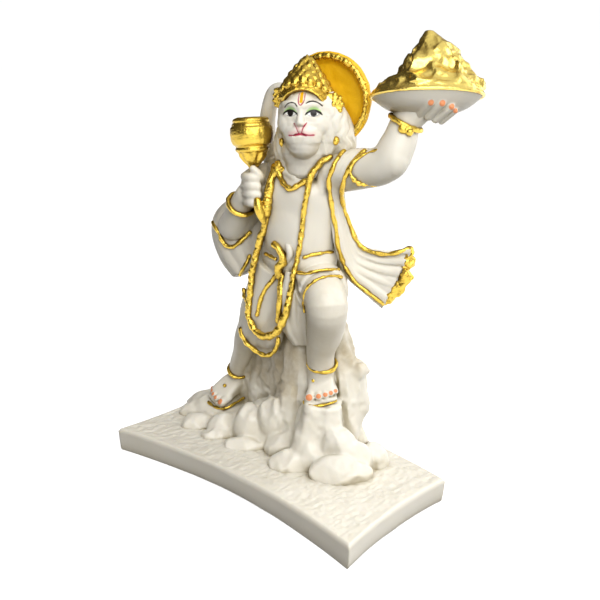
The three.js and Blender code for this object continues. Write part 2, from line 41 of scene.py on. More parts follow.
mm = 0.001
slabTop = 8.5  # heights below are above the slab's top, as in the solid
farAway = 99.0  # mm, further than any paint reaches
unpainted = -9.0

# The directions that the body and the head are turned to, and the landmarks of the pose
pose = {
    "bodyTurn": 10,
    "headTurn": 31,
    "haloFacing": (0.282, -0.94, 0),
    "head": (8, 8.7, 115),
    "halo": (9.8, 17.4, 119.2),
    "mountain": (41.8, 23.9, 121),
    "maceFoot": (-7.1, 1.5, 86.7),
    "maceTop": (-10.1, 2.6, 113.8),
}


def direction(degrees):
    return np.array([math.cos(math.radians(degrees)), math.sin(math.radians(degrees)), 0])


bodySide = direction(pose["bodyTurn"])
headSide = direction(pose["headTurn"])
headFront = direction(pose["headTurn"] - 90)
upright = np.array([0, 0, 1.0])


def onHead(left, forward, up):  # a point in the head's own directions
    return tuple(np.array(pose["head"]) + left * headSide + forward * headFront + up * upright)


# Shapes as closed triangle skins, in millimetres


def spline(points, perSpan=8):  # a smooth line through the points; further columns ride along
    p = np.array(points, float)
    p = np.vstack([2 * p[0] - p[1], p, 2 * p[-1] - p[-2]])
    gap = np.maximum(np.linalg.norm(np.diff(p[:, :3], axis=0), axis=1) ** 0.5, 1e-4)
    t = np.linspace(0, 1, perSpan, endpoint=False)[:, None]
    runs = []
    for i in range(1, len(p) - 2):
        a, b, c = gap[i - 1 : i + 2]
        step = p[i + 1] - p[i]
        leave = b * ((p[i] - p[i - 1]) / a - (p[i + 1] - p[i - 1]) / (a + b) + step / b)
        arrive = b * (step / b - (p[i + 2] - p[i]) / (b + c) + (p[i + 2] - p[i + 1]) / c)
        curve = p[i] + leave * t + (3 * step - 2 * leave - arrive) * t**2
        runs.append(curve + (leave + arrive - 2 * step) * t**3)
    return np.vstack(runs + [p[-2][None]])


def unit(v):
    return v / np.maximum(np.linalg.norm(v, axis=-1, keepdims=True), 1e-9)


def skin(rings):  # rings is an array of rings x points x 3; both ends are closed by a fan
    rows, count, _ = rings.shape
    a = np.arange(count)
    b = (a + 1) % count
    faces = []
    for low in range(0, (rows - 1) * count, count):
        high = low + count
        faces.append(np.stack([low + a, low + b, high + b], 1))
        faces.append(np.stack([low + a, high + b, high + a], 1))
    end = rows * count
    faces.append(np.stack([np.full(count, end), b, a], 1))
    faces.append(np.stack([np.full(count, end + 1), end - count + a, end - count + b], 1))
    points = np.vstack([rings.reshape(-1, 3), rings[0].mean(0), rings[-1].mean(0)])
    return points, np.vstack(faces)


def limb(stations, side=bodySide, around=30, perSpan=7, blunt=0.7, shape=None):
    # stations are (x, y, z, half width, half depth); shape(angle, share) swells the section
    rows = [list(s) + [s[3]] if len(s) == 4 else list(s) for s in stations]
    s = spline(rows, perSpan)
    line = s[:, :3]
    along = unit(np.gradient(line, axis=0))
    wide = unit(np.asarray(side) - (along @ np.asarray(side))[:, None] * along)
    deep = np.cross(along, wide)
    angle = np.linspace(0, 2 * math.pi, around, endpoint=False)
    swell = np.ones((len(s), around))
    if shape is not None:
        swell = swell * shape(angle[None], np.linspace(0, 1, len(s))[:, None])
    flat = (
        wide[:, None] * (s[:, 3, None] * swell * np.cos(angle))[..., None]
        + deep[:, None] * (s[:, 4, None] * swell * np.sin(angle))[..., None]
    )
    rings = [line[:, None] + flat]
    for turn in (25, 50, 70, 84):
        scale, push = math.cos(math.radians(turn)), math.sin(math.radians(turn)) * blunt
        rings.insert(0, (line[0] - along[0] * min(s[0, 3:5]) * push + flat[0] * scale)[None])
        rings.append((line[-1] + along[-1] * min(s[-1, 3:5]) * push + flat[-1] * scale)[None])
    return skin(np.vstack(rings))


def tube(points, radius, around=14, perSpan=8, shape=None):
    return limb([(*p, radius) for p in points], (0.93, 0.3, 0.2), around, perSpan, shape=shape)


def ball(centre, radii, side=bodySide, around=28):
    lean, turn = np.meshgrid(
        np.linspace(-math.pi / 2 + 0.05, math.pi / 2 - 0.05, around // 2),
        np.linspace(0, 2 * math.pi, around, endpoint=False),
        indexing="ij",
    )
    x = radii[0] * np.cos(lean) * np.cos(turn)
    y = radii[1] * np.cos(lean) * np.sin(turn)
    z = radii[2] * np.sin(lean)
    back = np.cross(upright, side)
    return skin(np.array(centre) + x[..., None] * side + y[..., None] * back + z[..., None] * upright)


def turned(profile, foot, towards, around, shape=None):  # profile is (radius, height) rows
    axis = unit(np.array(towards, float) - np.array(foot, float))
    first = unit(np.cross(axis, [0.31, -0.9, 0.2]))
    second = np.cross(axis, first)
    p = np.array(profile, float)
    angle = np.linspace(0, 2 * math.pi, around, endpoint=False)
    radius = np.maximum(p[:, :1], 0.01) * np.ones((1, around))
    height = p[:, 1:2] * np.ones((1, around))
    if shape is not None:
        radius = radius * shape(angle[None], height)
    out = (radius * np.cos(angle))[..., None] * first + (radius * np.sin(angle))[..., None] * second
    return skin(np.array(foot) + out + height[..., None] * axis)


def hoop(centre, axis, radius, thick, side=bodySide, around=60, shape=None):
    # a ring of round section about an axis, as a closed loop of skin
    axis = unit(np.array(axis, float))
    first = unit(np.asarray(side) - (axis @ np.asarray(side)) * axis)
    second = np.cross(axis, first)
    turn = np.linspace(0, 2 * math.pi, around, endpoint=False)[:, None, None]
    roll = np.linspace(0, 2 * math.pi, 12, endpoint=False)[None, :, None]
    swell = 1 if shape is None else shape(turn)
    out = first * np.cos(turn) + second * np.sin(turn)
    wide = out * (radius + thick * swell * np.cos(roll))
    rings = np.array(centre) + wide + axis * thick * swell * np.sin(roll)
    a = np.arange(around * 12).reshape(around, 12)
    right, up = np.roll(a, -1, 1), np.roll(a, -1, 0)
    both = np.roll(up, -1, 1)
    faces = np.concatenate([np.stack([a, up, both], -1), np.stack([a, both, right], -1)]).reshape(-1, 3)
    return rings.reshape(-1, 3), faces


def cloth(railA, railB, thick, fold, across=60):
    # a sheet between two rails; fold(across share, along share) lifts it off its plane
    a, b = spline(railA), spline(railB)
    u = np.linspace(0, 1, across)[None, :, None]
    v = np.linspace(0, 1, len(a))[:, None]
    middle = a[:, None] * (1 - u) + b[:, None] * u
    down = unit(np.gradient(a, axis=0) + np.gradient(b, axis=0))
    out = unit(np.cross(b - a, down))
    middle = middle + out[:, None] * fold(u[..., 0], v)[..., None]
    lean = unit(np.cross(np.gradient(middle, axis=1), np.gradient(middle, axis=0)))
    return skin(np.concatenate([middle + lean * thick / 2, (middle - lean * thick / 2)[:, ::-1]], 1))


def carvedFolds(count, phase=0.0):  # round ridges with sharp valleys, from -1 to 1
    return lambda share: 2 * np.abs(np.sin(math.pi * count * share + phase)) - 1


def pleated(stations, count, depth, start, drift=lambda s: 0, **more):
    # a limb with carved folds down it, which deepen along it and may wander round it
    fold = carvedFolds(count)

    def section(angle, share):
        return 1 + depth * (start + share) * fold(angle / (2 * math.pi) + drift(share))

    return limb(stations, shape=section, **more)


def grit(points, size, seed):  # smooth random lumps from -1 to 1, about size millimetres apart
    cells = 24
    lattice = np.random.default_rng(seed).uniform(-1, 1, (cells,) * 3)
    q = np.asarray(points) / size + 1000
    base = np.floor(q).astype(int)
    f = q - base
    f = f * f * (3 - 2 * f)
    total = 0
    for corner in np.ndindex(2, 2, 2):
        weight = np.prod(np.where(np.array(corner) == 1, f, 1 - f), axis=-1)
        i = (base + corner) % cells
        total = total + weight * lattice[i[..., 0], i[..., 1], i[..., 2]]
    return total


def boulder(centre, radii, seed, turn=37.0, facets=11):  # a ball that is split to flat faces
    points, faces = ball((0, 0, 0), (1, 1, 1), around=40)
    draw = np.random.default_rng(seed)
    for normal in unit(draw.normal(size=(facets, 3)) + [0, 0, 0.25]):
        over = np.maximum(points @ normal - draw.uniform(0.76, 0.95), 0)
        points = points - over[:, None] * normal
    side = direction(turn)
    axes = np.array([side * radii[0], np.cross(upright, side) * radii[1], upright * radii[2]])
    return points @ axes + np.array(centre), faces


class Clay:  # a block of distances that shapes are added to and cut from, softly like wax
    band = 6  # cells on each side of a surface that hold its distance

    def __init__(self, low, high, grain):
        self.grain = grain
        lift = np.array([0, 0, slabTop])
        self.first = np.floor((low + lift) / grain).astype(int)
        self.size = np.ceil((high + lift) / grain).astype(int) - self.first
        self.reach = self.band * grain
        self.field = np.full(self.size, self.reach, np.float32)

    def block(self, shape):
        points, faces = shape
        points = points + [0, 0, slabTop]
        grid = openvdb.FloatGrid.createLevelSetFromPolygons(
            points.astype(np.float32),
            triangles=faces.astype(np.uint32),
            transform=openvdb.createLinearTransform(voxelSize=self.grain),
            halfWidth=float(self.band),
        )
        low = np.floor(points.min(0) / self.grain).astype(int) - self.band - 1
        high = np.ceil(points.max(0) / self.grain).astype(int) + self.band + 2
        low = np.clip(low, self.first, self.first + self.size)
        high = np.clip(high, self.first, self.first + self.size)
        values = np.full(high - low, self.reach, np.float32)
        if values.size:
            grid.copyToArray(values, ijk=tuple(int(v) for v in low))
        return tuple(slice(a, b) for a, b in zip(low - self.first, high - self.first)), values

    def add(self, shape, blend=0.8):  # blend is about the fillet in millimetres
        where, new = self.block(shape)
        old = self.field[where]
        nearest = np.minimum(old, new)
        soft = np.maximum(blend - np.abs(old - new), 0) * np.clip(1 - nearest / blend, 0, 1)
        self.field[where] = nearest - soft * soft / (4 * blend)

    def cut(self, shape, blend=0.5):
        where, new = self.block(shape)
        old = self.field[where]
        soft = np.maximum(blend - np.abs(old + new), 0)
        self.field[where] = np.maximum(old, -new) + soft * soft / (4 * blend)

    def relief(self, height):  # height(points) in millimetres is raised from the surface
        near = np.abs(self.field) < self.reach * 0.9
        points = (np.argwhere(near) + self.first) * self.grain - [0, 0, slabTop]
        self.field[near] -= height(points).astype(np.float32)

    def harden(self, name):
        grid = openvdb.FloatGrid(self.reach)
        grid.copyFromArray(self.field, ijk=tuple(int(v) for v in self.first))
        grid.transform = openvdb.createLinearTransform(voxelSize=self.grain)
        points, quads = grid.convertToQuads(isovalue=0.0)
        return meshObject(name, points, quads[:, ::-1].tolist())


def meshObject(name, points, faces):  # points in millimetres from the slab's underside
    mesh = bpy.data.meshes.new(name)
    mesh.from_pydata((np.asarray(points) * mm).tolist(), [], faces)
    mesh.validate()
    mesh.polygons.foreach_set("use_smooth", [True] * len(mesh.polygons))
    made = bpy.data.objects.new(name, mesh)
    bpy.context.scene.collection.objects.link(made)
    return made


def pointsOf(made):
    points = np.empty(len(made.data.vertices) * 3)
    made.data.vertices.foreach_get("co", points)
    return points.reshape(-1, 3) / mm - [0, 0, slabTop]


def setLayer(made, layer, values):
    attribute = made.data.attributes.new(layer, "FLOAT", "POINT")
    attribute.data.foreach_set("value", np.asarray(values, np.float32))


def nearness(points, line, reach=3.0):  # distance from each point to a line of points
    best = np.full(len(points), farAway)
    near = np.all((points > line.min(0) - reach) & (points < line.max(0) + reach), axis=1)
    p = points[near]
    found = np.full(len(p), farAway)
    for a, b in zip(line[:-1], line[1:]):
        step = b - a
        share = np.clip((p - a) @ step / max(step @ step, 1e-9), 0, 1)
        found = np.minimum(found, np.linalg.norm(p - a - share[:, None] * step, axis=1))
    best[near] = found
    return best


# Finishes


def hexColour(value):  # sRGB hex to the linear numbers that a shader takes
    channels = [int(value[i : i + 2], 16) / 255 for i in (1, 3, 5)]
    return [c / 12.92 if c <= 0.04045 else ((c + 0.055) / 1.055) ** 2.4 for c in channels] + [1]


def addNode(tree, kind, settings=None, links=None, out=0):  # gives the output that the next node takes
    node = tree.nodes.new("ShaderNode" + kind)
    for key, value in (settings or {}).items():
        value = hexColour(value) if str(value).startswith("#") else value
        if isinstance(key, int) or key in node.inputs:
            node.inputs[key].default_value = value
        else:
            setattr(node, key, value)
    for key, source in (links or {}).items():
        tree.links.new(source, node.inputs[key])
    return node.outputs[out] if node.outputs else None


def newMaterial(name):
    made = bpy.data.materials.new(name)
    made.use_nodes = True
    made.node_tree.nodes.clear()
    return made, made.node_tree


def perMetre(size):  # a texture scale for features that are size millimetres across
    return 1 / (size * mm)


resinLook = {
    "light": "#F3F0E6",
    "warm": "#EAE5D6",
    "hollow": "#9A8D6A",  # painted shade that browns the deep folds
    "mottle": 22,  # mm between its warmer and its whiter patches
    "skinGrain": 1.1,  # mm, the soft orange peel of a casting
    "fold": 7,  # mm across a fold that gets the painted shade
    "depth": 1.6,  # mm that light goes into it
    "roughness": 0.36,
}
goldLook = {
    "bright": "#DDBC50",
    # deep is both the painted shade in grooves and the colour of random worn patches
    "deep": "#6C4C10",
    "fleck": 0.9,  # mm, flakes and brush drag
    "fold": 2.5,  # mm across a groove that gets painted shade
    "roughness": 0.26,
    "metal": 0.92,
}
# the dish of the halo is a flatter, more saturated amber
amberLook = goldLook | {"bright": "#F6C30E", "deep": "#E2AA08", "fleck": 1.6, "roughness": 0.5, "metal": 0.05}
# the mountain is gilded more thickly and polished by its facets, so that it glints like foil
foilLook = goldLook | {"bright": "#F4DA78", "deep": "#A87C24", "fleck": 1.2, "roughness": 0.24, "metal": 0.95}


def layerShare(tree, layer, feather):  # 1 where the painted layer's distance is inside its edge
    held = addNode(tree, "Attribute", {"attribute_name": layer}, out="Fac")
    place = addNode(tree, "TexCoord", out="Object")
    wobble = addNode(tree, "TexNoise", {"Scale": perMetre(1.4)}, {"Vector": place})
    shift = addNode(tree, "Math", {"operation": "MULTIPLY_ADD", 1: 0.3, 2: -0.15}, {0: wobble})
    edge = addNode(tree, "Math", {"operation": "ADD"}, {0: held, 1: shift})
    return addNode(tree, "MapRange", {"From Min": -feather, "From Max": feather}, {"Value": edge})


def castResin(name, paints=()):
    # polyester resin filled with marble dust, cast and lightly buffed: a milky, soft-edged white
    made, tree = newMaterial(name)
    place = addNode(tree, "TexCoord", out="Object")
    patches = {"Scale": perMetre(resinLook["mottle"]), "Detail": 3.0, "Roughness": 0.6}
    mottle = addNode(tree, "TexNoise", patches, {"Vector": place})
    whites = {"data_type": "RGBA", 6: resinLook["light"], 7: resinLook["warm"]}
    body = addNode(tree, "Mix", whites, {0: mottle}, 2)
    # painted shade: occlusion mixes the hollow colour into folds and recesses
    cavity = addNode(tree, "AmbientOcclusion", {"samples": 6, "Distance": resinLook["fold"] * mm}, out="AO")
    depth = addNode(tree, "MapRange", {"From Min": 0.12, "From Max": 0.8}, {"Value": cavity})
    colour = addNode(tree, "Mix", {"data_type": "RGBA", 6: resinLook["hollow"]}, {0: depth, 7: body}, 2)
    for layer, value, feather, *shadeClouds in paints:  # enamel over it; a layer of painted shade darkens what is under it, unevenly
        share = layerShare(tree, layer, feather)
        if shadeClouds:
            clouds = {"Scale": perMetre(shadeClouds[0]), "Detail": 5.0, "Roughness": 0.65}
            cloud = addNode(tree, "TexNoise", clouds, {"Vector": place})
            shadePatches = addNode(tree, "MapRange", {"From Min": 0.3, "From Max": 0.62}, {"Value": cloud})
            share = addNode(tree, "Math", {"operation": "MULTIPLY"}, {0: share, 1: shadePatches})
        coat = {"data_type": "RGBA", "blend_type": "MULTIPLY" if shadeClouds else "MIX", 7: value}
        colour = addNode(tree, "Mix", coat, {0: share, 6: colour}, 2)
    peel = {"Scale": perMetre(resinLook["skinGrain"]), "Detail": 4.0, "Roughness": 0.55}
    grain = addNode(tree, "TexNoise", peel, {"Vector": place})
    bump = addNode(tree, "Bump", {"Strength": 0.12, "Distance": 0.15 * mm}, {"Height": grain})
    surface = {
        "Roughness": resinLook["roughness"],
        "IOR": 1.5,
        "Specular IOR Level": 0.32,
        "Subsurface Weight": 0.18,
        "Subsurface Radius": (1.0, 0.85, 0.6),
        "Subsurface Scale": resinLook["depth"] * mm,
        "Coat Weight": 0.05,
        "Coat Roughness": 0.15,
    }
    shader = addNode(tree, "BsdfPrincipled", surface, {"Base Color": colour, "Normal": bump})
    addNode(tree, "OutputMaterial", links={"Surface": shader})
    return made


def goldPaint(name, look):
    # bronze-powder gold paint brushed over resin: bright on the ridges, brown in its grooves as painted shade
    # and in random worn patches
    made, tree = newMaterial(name)
    place = addNode(tree, "TexCoord", out="Object")
    drag = {"Scale": perMetre(look["fleck"]), "Detail": 5.0, "Roughness": 0.6}
    flecks = addNode(tree, "TexNoise", drag, {"Vector": place})
    wear = addNode(tree, "TexNoise", {"Scale": perMetre(look["fleck"] * 5), "Detail": 3.0}, {"Vector": place})
    # painted shade: occlusion, times random wear, mixes the deep colour into grooves
    cavity = addNode(tree, "AmbientOcclusion", {"samples": 6, "Distance": look["fold"] * mm}, out="AO")
    shadeAndWear = addNode(tree, "Math", {"operation": "MULTIPLY"}, {0: cavity, 1: wear})
    share = addNode(tree, "MapRange", {"From Min": 0.12, "From Max": 0.44}, {"Value": shadeAndWear})
    colour = addNode(tree, "Mix", {"data_type": "RGBA", 6: look["deep"], 7: look["bright"]}, {0: share}, 2)
    bump = addNode(tree, "Bump", {"Strength": 0.6, "Distance": 0.35 * mm}, {"Height": flecks})
    surface = {"Metallic": look["metal"], "Roughness": look["roughness"]}
    shader = addNode(tree, "BsdfPrincipled", surface, {"Base Color": colour, "Normal": bump})
    addNode(tree, "OutputMaterial", links={"Surface": shader})
    return made


# each finish is its material and the record's slot for it
coralNails = ("nail", "#EE9A68", 0.12)
whiteFinish = castResin("cast marble-dust resin"), "white_resin"
goldFinish = goldPaint("brushed gold paint", goldLook), "gold_paint"
amberFinish = goldPaint("amber gold lacquer", amberLook), "gold_paint"
foilFinish = goldPaint("burnished gold leaf", foilLook), "gold_paint"
nailedFinish = castResin("resin with coral nails", [coralNails]), "white_resin"
# the rock gets a greyish-beige painted shade higher up, behind and between the legs, broken into clouds
shaded = [("rock", "#D8CFBC", 3, 9), coralNails]
rockFinish = castResin("washed resin rock with coral nails", shaded), "white_resin"


def finishPiece(made, material, slot):
    made.data.materials.append(material)
    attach(made, "root")
    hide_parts("hanuman_on_slab")
    print(made.name, len(made.data.vertices), "points")


# The slab

slab = {
    "width": 110,
    "depth": 50,
    "bow": 6,
    "endBow": 1.8,
    "draft": 0.9,
    "edgeRadius": 0.9,
    "cell": 0.45,  # mm between points of its scratched top
    # rings of points down its sides: share of the height, share of the draft
    "rings": [(0.78, 0.1), (0.5, 0.3), (0.22, 0.6), (0.05, 0.85), (0.0, 1.25)],
    "waver": 0.18,  # mm that the sides wander
}


def groundRelief(points):  # short scratches and pits of modelled earth
    flat = np.column_stack([points[:, :2], np.zeros(len(points))])
    strokes = np.abs(grit(flat * [1.0, 0.6, 1], 1.5, 5)) + 0.7 * np.abs(grit(flat * [0.6, 1.1, 1], 1.1, 6))
    return 0.34 * (0.5 - strokes) + 0.26 * grit(flat, 7, 7)


def makeSlab():
    w, d, round_ = slab["width"], slab["depth"], slab["edgeRadius"]
    across, along = int(w / slab["cell"]), int(d / slab["cell"])
    u, v = np.meshgrid(np.linspace(0, 1, across), np.linspace(0, 1, along), indexing="ij")
    # the top is a grid that is bent to the four bowed edges
    x = (u - 0.5) * w - slab["endBow"] * 4 * v * (1 - v) * (2 * u - 1)
    y = (v - 0.5) * d + slab["bow"] * 4 * u * (1 - u)
    rim = np.minimum(np.minimum(u, 1 - u) * w, np.minimum(v, 1 - v) * d).ravel()
    drop = round_ - np.sqrt(np.maximum(round_**2 - np.maximum(round_ - rim, 0) ** 2, 0))
    points = np.column_stack([x.ravel(), y.ravel(), np.zeros(x.size)])
    points[:, 2] = slabTop - drop + groundRelief(points) * np.clip(rim / 2.5, 0, 1)
    index = np.arange(across * along).reshape(across, along)
    quads = [index[:-1, :-1], index[1:, :-1], index[1:, 1:], index[:-1, 1:]]
    faces = np.stack(quads, -1).reshape(-1, 4).tolist()
    upper = np.concatenate([index[:-1, 0], index[-1, :-1], index[:0:-1, -1], index[0, :0:-1]])
    edge = points[upper, :2]
    inward = unit([0, slab["bow"] / 2] - edge)
    for share, pull in slab["rings"]:
        level = np.full(len(edge), slabTop * share)
        waver = inward * slab["waver"] * grit(np.column_stack([edge, level]), 7, 8)[:, None]
        lower = np.arange(len(points), len(points) + len(edge))
        points = np.vstack([points, np.column_stack([edge + inward * slab["draft"] * pull + waver, level])])
        faces += np.stack([upper, lower, np.roll(lower, -1), np.roll(upper, -1)], 1).tolist()
        upper = lower
    piece = meshObject("slab", points, faces + [upper[::-1].tolist()])
    piece.data.polygons[-1].use_smooth = False  # the flat underside
    finishPiece(piece, *whiteFinish)


makeSlab()

# The stones and the rock that the figure leans on, with both legs growing out of it

base = {
    "clay": ((-58, -16, -1), (46, 44, 68), 0.5),  # corners of the block, and its grain
    # stones at the foot of the mound: middle, half sizes
    "stones": [
        ((11.8, -2.4, 0.6), (8, 4.8, 5.4)), ((29, 3, 1), (11, 5.6, 6.4)), ((31.8, 17.2, 1), (5, 4.8, 6.6)),
        ((24.4, 8.4, 6), (7.4, 5.4, 9.4)), ((-10, -3, 0.2), (8.6, 3.6, 3.2)), ((-24, -5.2, 0), (6.6, 3.4, 3)),
        ((-25, 0.4, 0.6), (6.4, 5.2, 6)), ((-36, -2.6, 0), (7, 5.2, 3.8)),
        ((-13.2, 3.6, 3.6), (6.8, 5.8, 9.8)), ((-3.6, 6, 10), (5.8, 5.4, 8.8)),
        ((3, 3.6, 1.4), (7.4, 5.4, 6.8)), ((-45, 4, 0), (6, 5, 3.6)), ((10.4, 7.4, 9), (5, 4.8, 10.6)),
        ((30, 11, 3), (4.6, 4.4, 7)), ((17.6, 3, 2.6), (6.2, 5, 7.8)),
    ],
    "mound": [((-10, 12, 0), (25, 13, 8)), ((-38, 12, 0), (16, 11, 7)), ((-6, 10, 2), (17, 8.6, 12.6))],
    "spine": [
        (-4, 21, 0, 24.5, 9), (-4.4, 20.5, 14, 21.5, 8.6), (-4.4, 19.6, 28, 17, 8), (-2.6, 18, 42, 13.5, 7),
        (1, 16.8, 56, 10.5, 5),
    ],
    "column": [
        (15.5, 22.5, 2, 4, 5), (15.5, 22.5, 8, 5.2, 6), (15.5, 22.5, 14, 6.7, 6.6),
        (15.5, 22.5, 21, 6.9, 6.4), (15.2, 22.4, 27, 6.2, 6), (14, 22, 33, 4.2, 5), (13, 21.6, 40, 3.2, 4.4),
        (11, 21, 46, 2.6, 4),
    ],
    "web": [(-24, 22, 0, 13, 8), (-21, 21.6, 20, 10.6, 6), (-14, 18.5, 36, 7, 5), (-9, 14, 43, 4.5, 4)],
    "between": [(2, 10, 0, 10, 7), (2, 10.6, 12, 8, 6), (3, 12.4, 26, 6.6, 6), (3.6, 13, 42, 6, 5)],
    "knob": ((20.9, 22.8, 29.4), (3, 3, 3)),
    "knobs": [((-20, 25, 12), (5.6, 5, 7)), ((-6, 28, 20), (6, 4.6, 8)), ((6, 27.4, 9), (6, 5, 7.6))],
    "pedestal": [(14.2, 8, 0, 11.4, 9.6), (14.6, 8.8, 10, 8.8, 8.6), (15.4, 9.6, 20.9, 6.4, 7.8)],
    "pedestalTurn": 42,
    "hollow": ((6.4, -0.4, 11), (3.6, 4.6, 6.4)),
    "rightLeg": [
        (-4, 11.8, 56, 7.6), (-13, 10.4, 47, 6.4), (-20.5, 9.8, 36.3, 4.8), (-26.2, 12.6, 27.4, 3.9),
        (-32.5, 15.6, 17.6, 3.5), (-33, 17.4, 9, 3.6),
    ],
    "leftLeg": [
        (9.5, 13, 59, 8), (16.5, 7.5, 60, 7.2), (22, 3.2, 57.5, 6.6), (18.7, 6.4, 48, 6),
        (14.6, 9, 39.2, 4.8), (12.8, 11.2, 31, 4.5), (12.2, 11.8, 25.5, 4.5),
    ],
    # heel, the way the toes point, the sole's rise to the viewer's right, which side the big toe is on
    "feet": [
        ((-33.2, 19.4, 7.5), (-0.14, -0.99, 0), -0.3, 1), ((8.9, 16.8, 23.4), (0.62, -0.78, 0), 0.24, -1),
    ],
    # in a foot's own directions, ahead, sideways and up from the heel: place, half width, half depth
    "instep": [
        (0.6, 0, 3.2, 4.1, 3.4), (5, 0, 4, 4.5, 3.8), (8.6, 0, 2.8, 4.9, 2.8), (11.4, 0, 1.5, 5.1, 1.7),
    ],
    "sole": [(-1.5, 0, -1, 3.8, 0.9), (6, 0, -1, 4.8, 0.9), (13.6, 0, -1, 5.7, 0.9)],
    # toes from the big one: sideways, reach from the heel, radius
    "toes": [(4.1, 13.7, 1.7), (0.9, 13.9, 1.3), (-1.4, 13.6, 1.2), (-3.3, 12.9, 1.1), (-4.9, 11.9, 1)],
    "shadeGap": 1.2,  # mm round the legs that the rock's painted shade keeps off
    "shadeFrom": (17.5, 30.5),  # mm up: where the painted shade starts, on the mound and behind the left foot
}


def rugged(angle, share):
    return 1 + 0.07 * np.sin(5 * angle + 9 * share) + 0.05 * np.sin(3 * angle - 14 * share)


def blocky(angle, share):  # a round section pressed towards a square
    return (np.cos(angle) ** 4 + np.sin(angle) ** 4) ** -0.25 - 0.1


def addFoot(clay, heel, ahead, roll, inner):  # returns where the toenails are, and how large
    ahead = unit(np.array(ahead, float))
    across = unit(np.cross(upright, ahead) + upright * roll)

    def place(forward, aside, up):
        return tuple(np.array(heel) + ahead * forward + across * aside + upright * up)

    clay.add(limb([(*place(*s[:3]), *s[3:]) for s in base["instep"]], across, shape=blocky), 0.8)
    clay.add(limb([(*place(*s[:3]), *s[3:]) for s in base["sole"]], across, blunt=0.9), 0.2)
    nails = []
    for aside, reach, radius in base["toes"]:
        aside *= inner
        toe = [(*place(reach - 4, aside * 0.8, 1.7), radius), (*place(reach, aside, 0.9), radius)]
        clay.add(limb(toe, across, around=20), 0.25)
        nails.append((*place(reach + radius * 0.45, aside, 0.9 + radius * 0.55), radius * 0.68))
    return nails


def paintNails(points, nails):
    layer = np.full(len(points), unpainted)
    for *place, size in nails:
        layer = np.maximum(layer, size - np.linalg.norm(points - place, axis=1))
    return layer


def rockRelief(points):  # rough and streaked where the rock stands up, smoother on the stones and the mound
    rough = np.clip((points[:, 2] - 3) / 9, 0.45, 1)
    streaks = 0.5 - np.abs(grit(points * [1, 1, 0.4], 3.2, 12))
    return rough * (0.9 * grit(points * [1, 1, 0.6], 6, 11) + 1.1 * streaks + 0.35 * grit(points, 1.7, 13))


def makeBase():
    clay = Clay(*base["clay"])
    for centre, radii in base["mound"]:
        clay.add(ball(centre, radii), 2.0)
    clay.add(limb(base["spine"], around=60, shape=rugged), 1.6)
    clay.add(limb(base["column"], direction(42), around=50, shape=rugged), 1.6)
    clay.add(limb(base["web"], around=60, shape=rugged), 2.4)
    clay.add(limb(base["between"], around=50, shape=rugged), 2.4)
    clay.add(ball(*base["knob"]), 1.2)
    for n, (centre, radii) in enumerate(base["knobs"]):
        clay.add(boulder(centre, radii, 30 + n), 1.6)
    clay.add(limb(base["pedestal"], direction(base["pedestalTurn"]), 60, blunt=0.1, shape=blocky), 0.8)
    for n, (centre, radii) in enumerate(base["stones"]):
        clay.add(boulder(centre, radii, 60 + n), 1.6)
    clay.cut(boulder(*base["hollow"], 90), 1.0)
    clay.relief(rockRelief)
    for leg in (base["rightLeg"], base["leftLeg"]):
        clay.add(limb(leg, around=40), 1.2)
    nails = [nail for foot in base["feet"] for nail in addFoot(clay, *foot)]
    made = clay.harden("stonesAndLegs")
    points = pointsOf(made)
    setLayer(made, "nail", paintNails(points, nails))
    # balls of air along the legs and the feet, which the painted shade stays outside
    air = [station for leg in (base["rightLeg"], base["leftLeg"]) for station in spline(leg)]
    for heel, ahead, *_ in base["feet"]:
        air += [(*(np.array(heel) + np.array(ahead) * reach + [0, 0, 2]), 5.5) for reach in (0, 3, 6, 9, 12)]
    away = np.full(len(points), farAway)
    for *place, radius in air:
        away = np.minimum(away, np.linalg.norm(points - place, axis=1) - radius)
    # painted shade: the rock above these heights, away from the legs, is darkened
    high = points[:, 2] - np.where(points[:, 0] > 6, base["shadeFrom"][1], base["shadeFrom"][0])
    setLayer(made, "rock", np.minimum(away - base["shadeGap"], high))
    finishPiece(made, *rockFinish)


makeBase()

# The body: trunk, arms, hands and tail

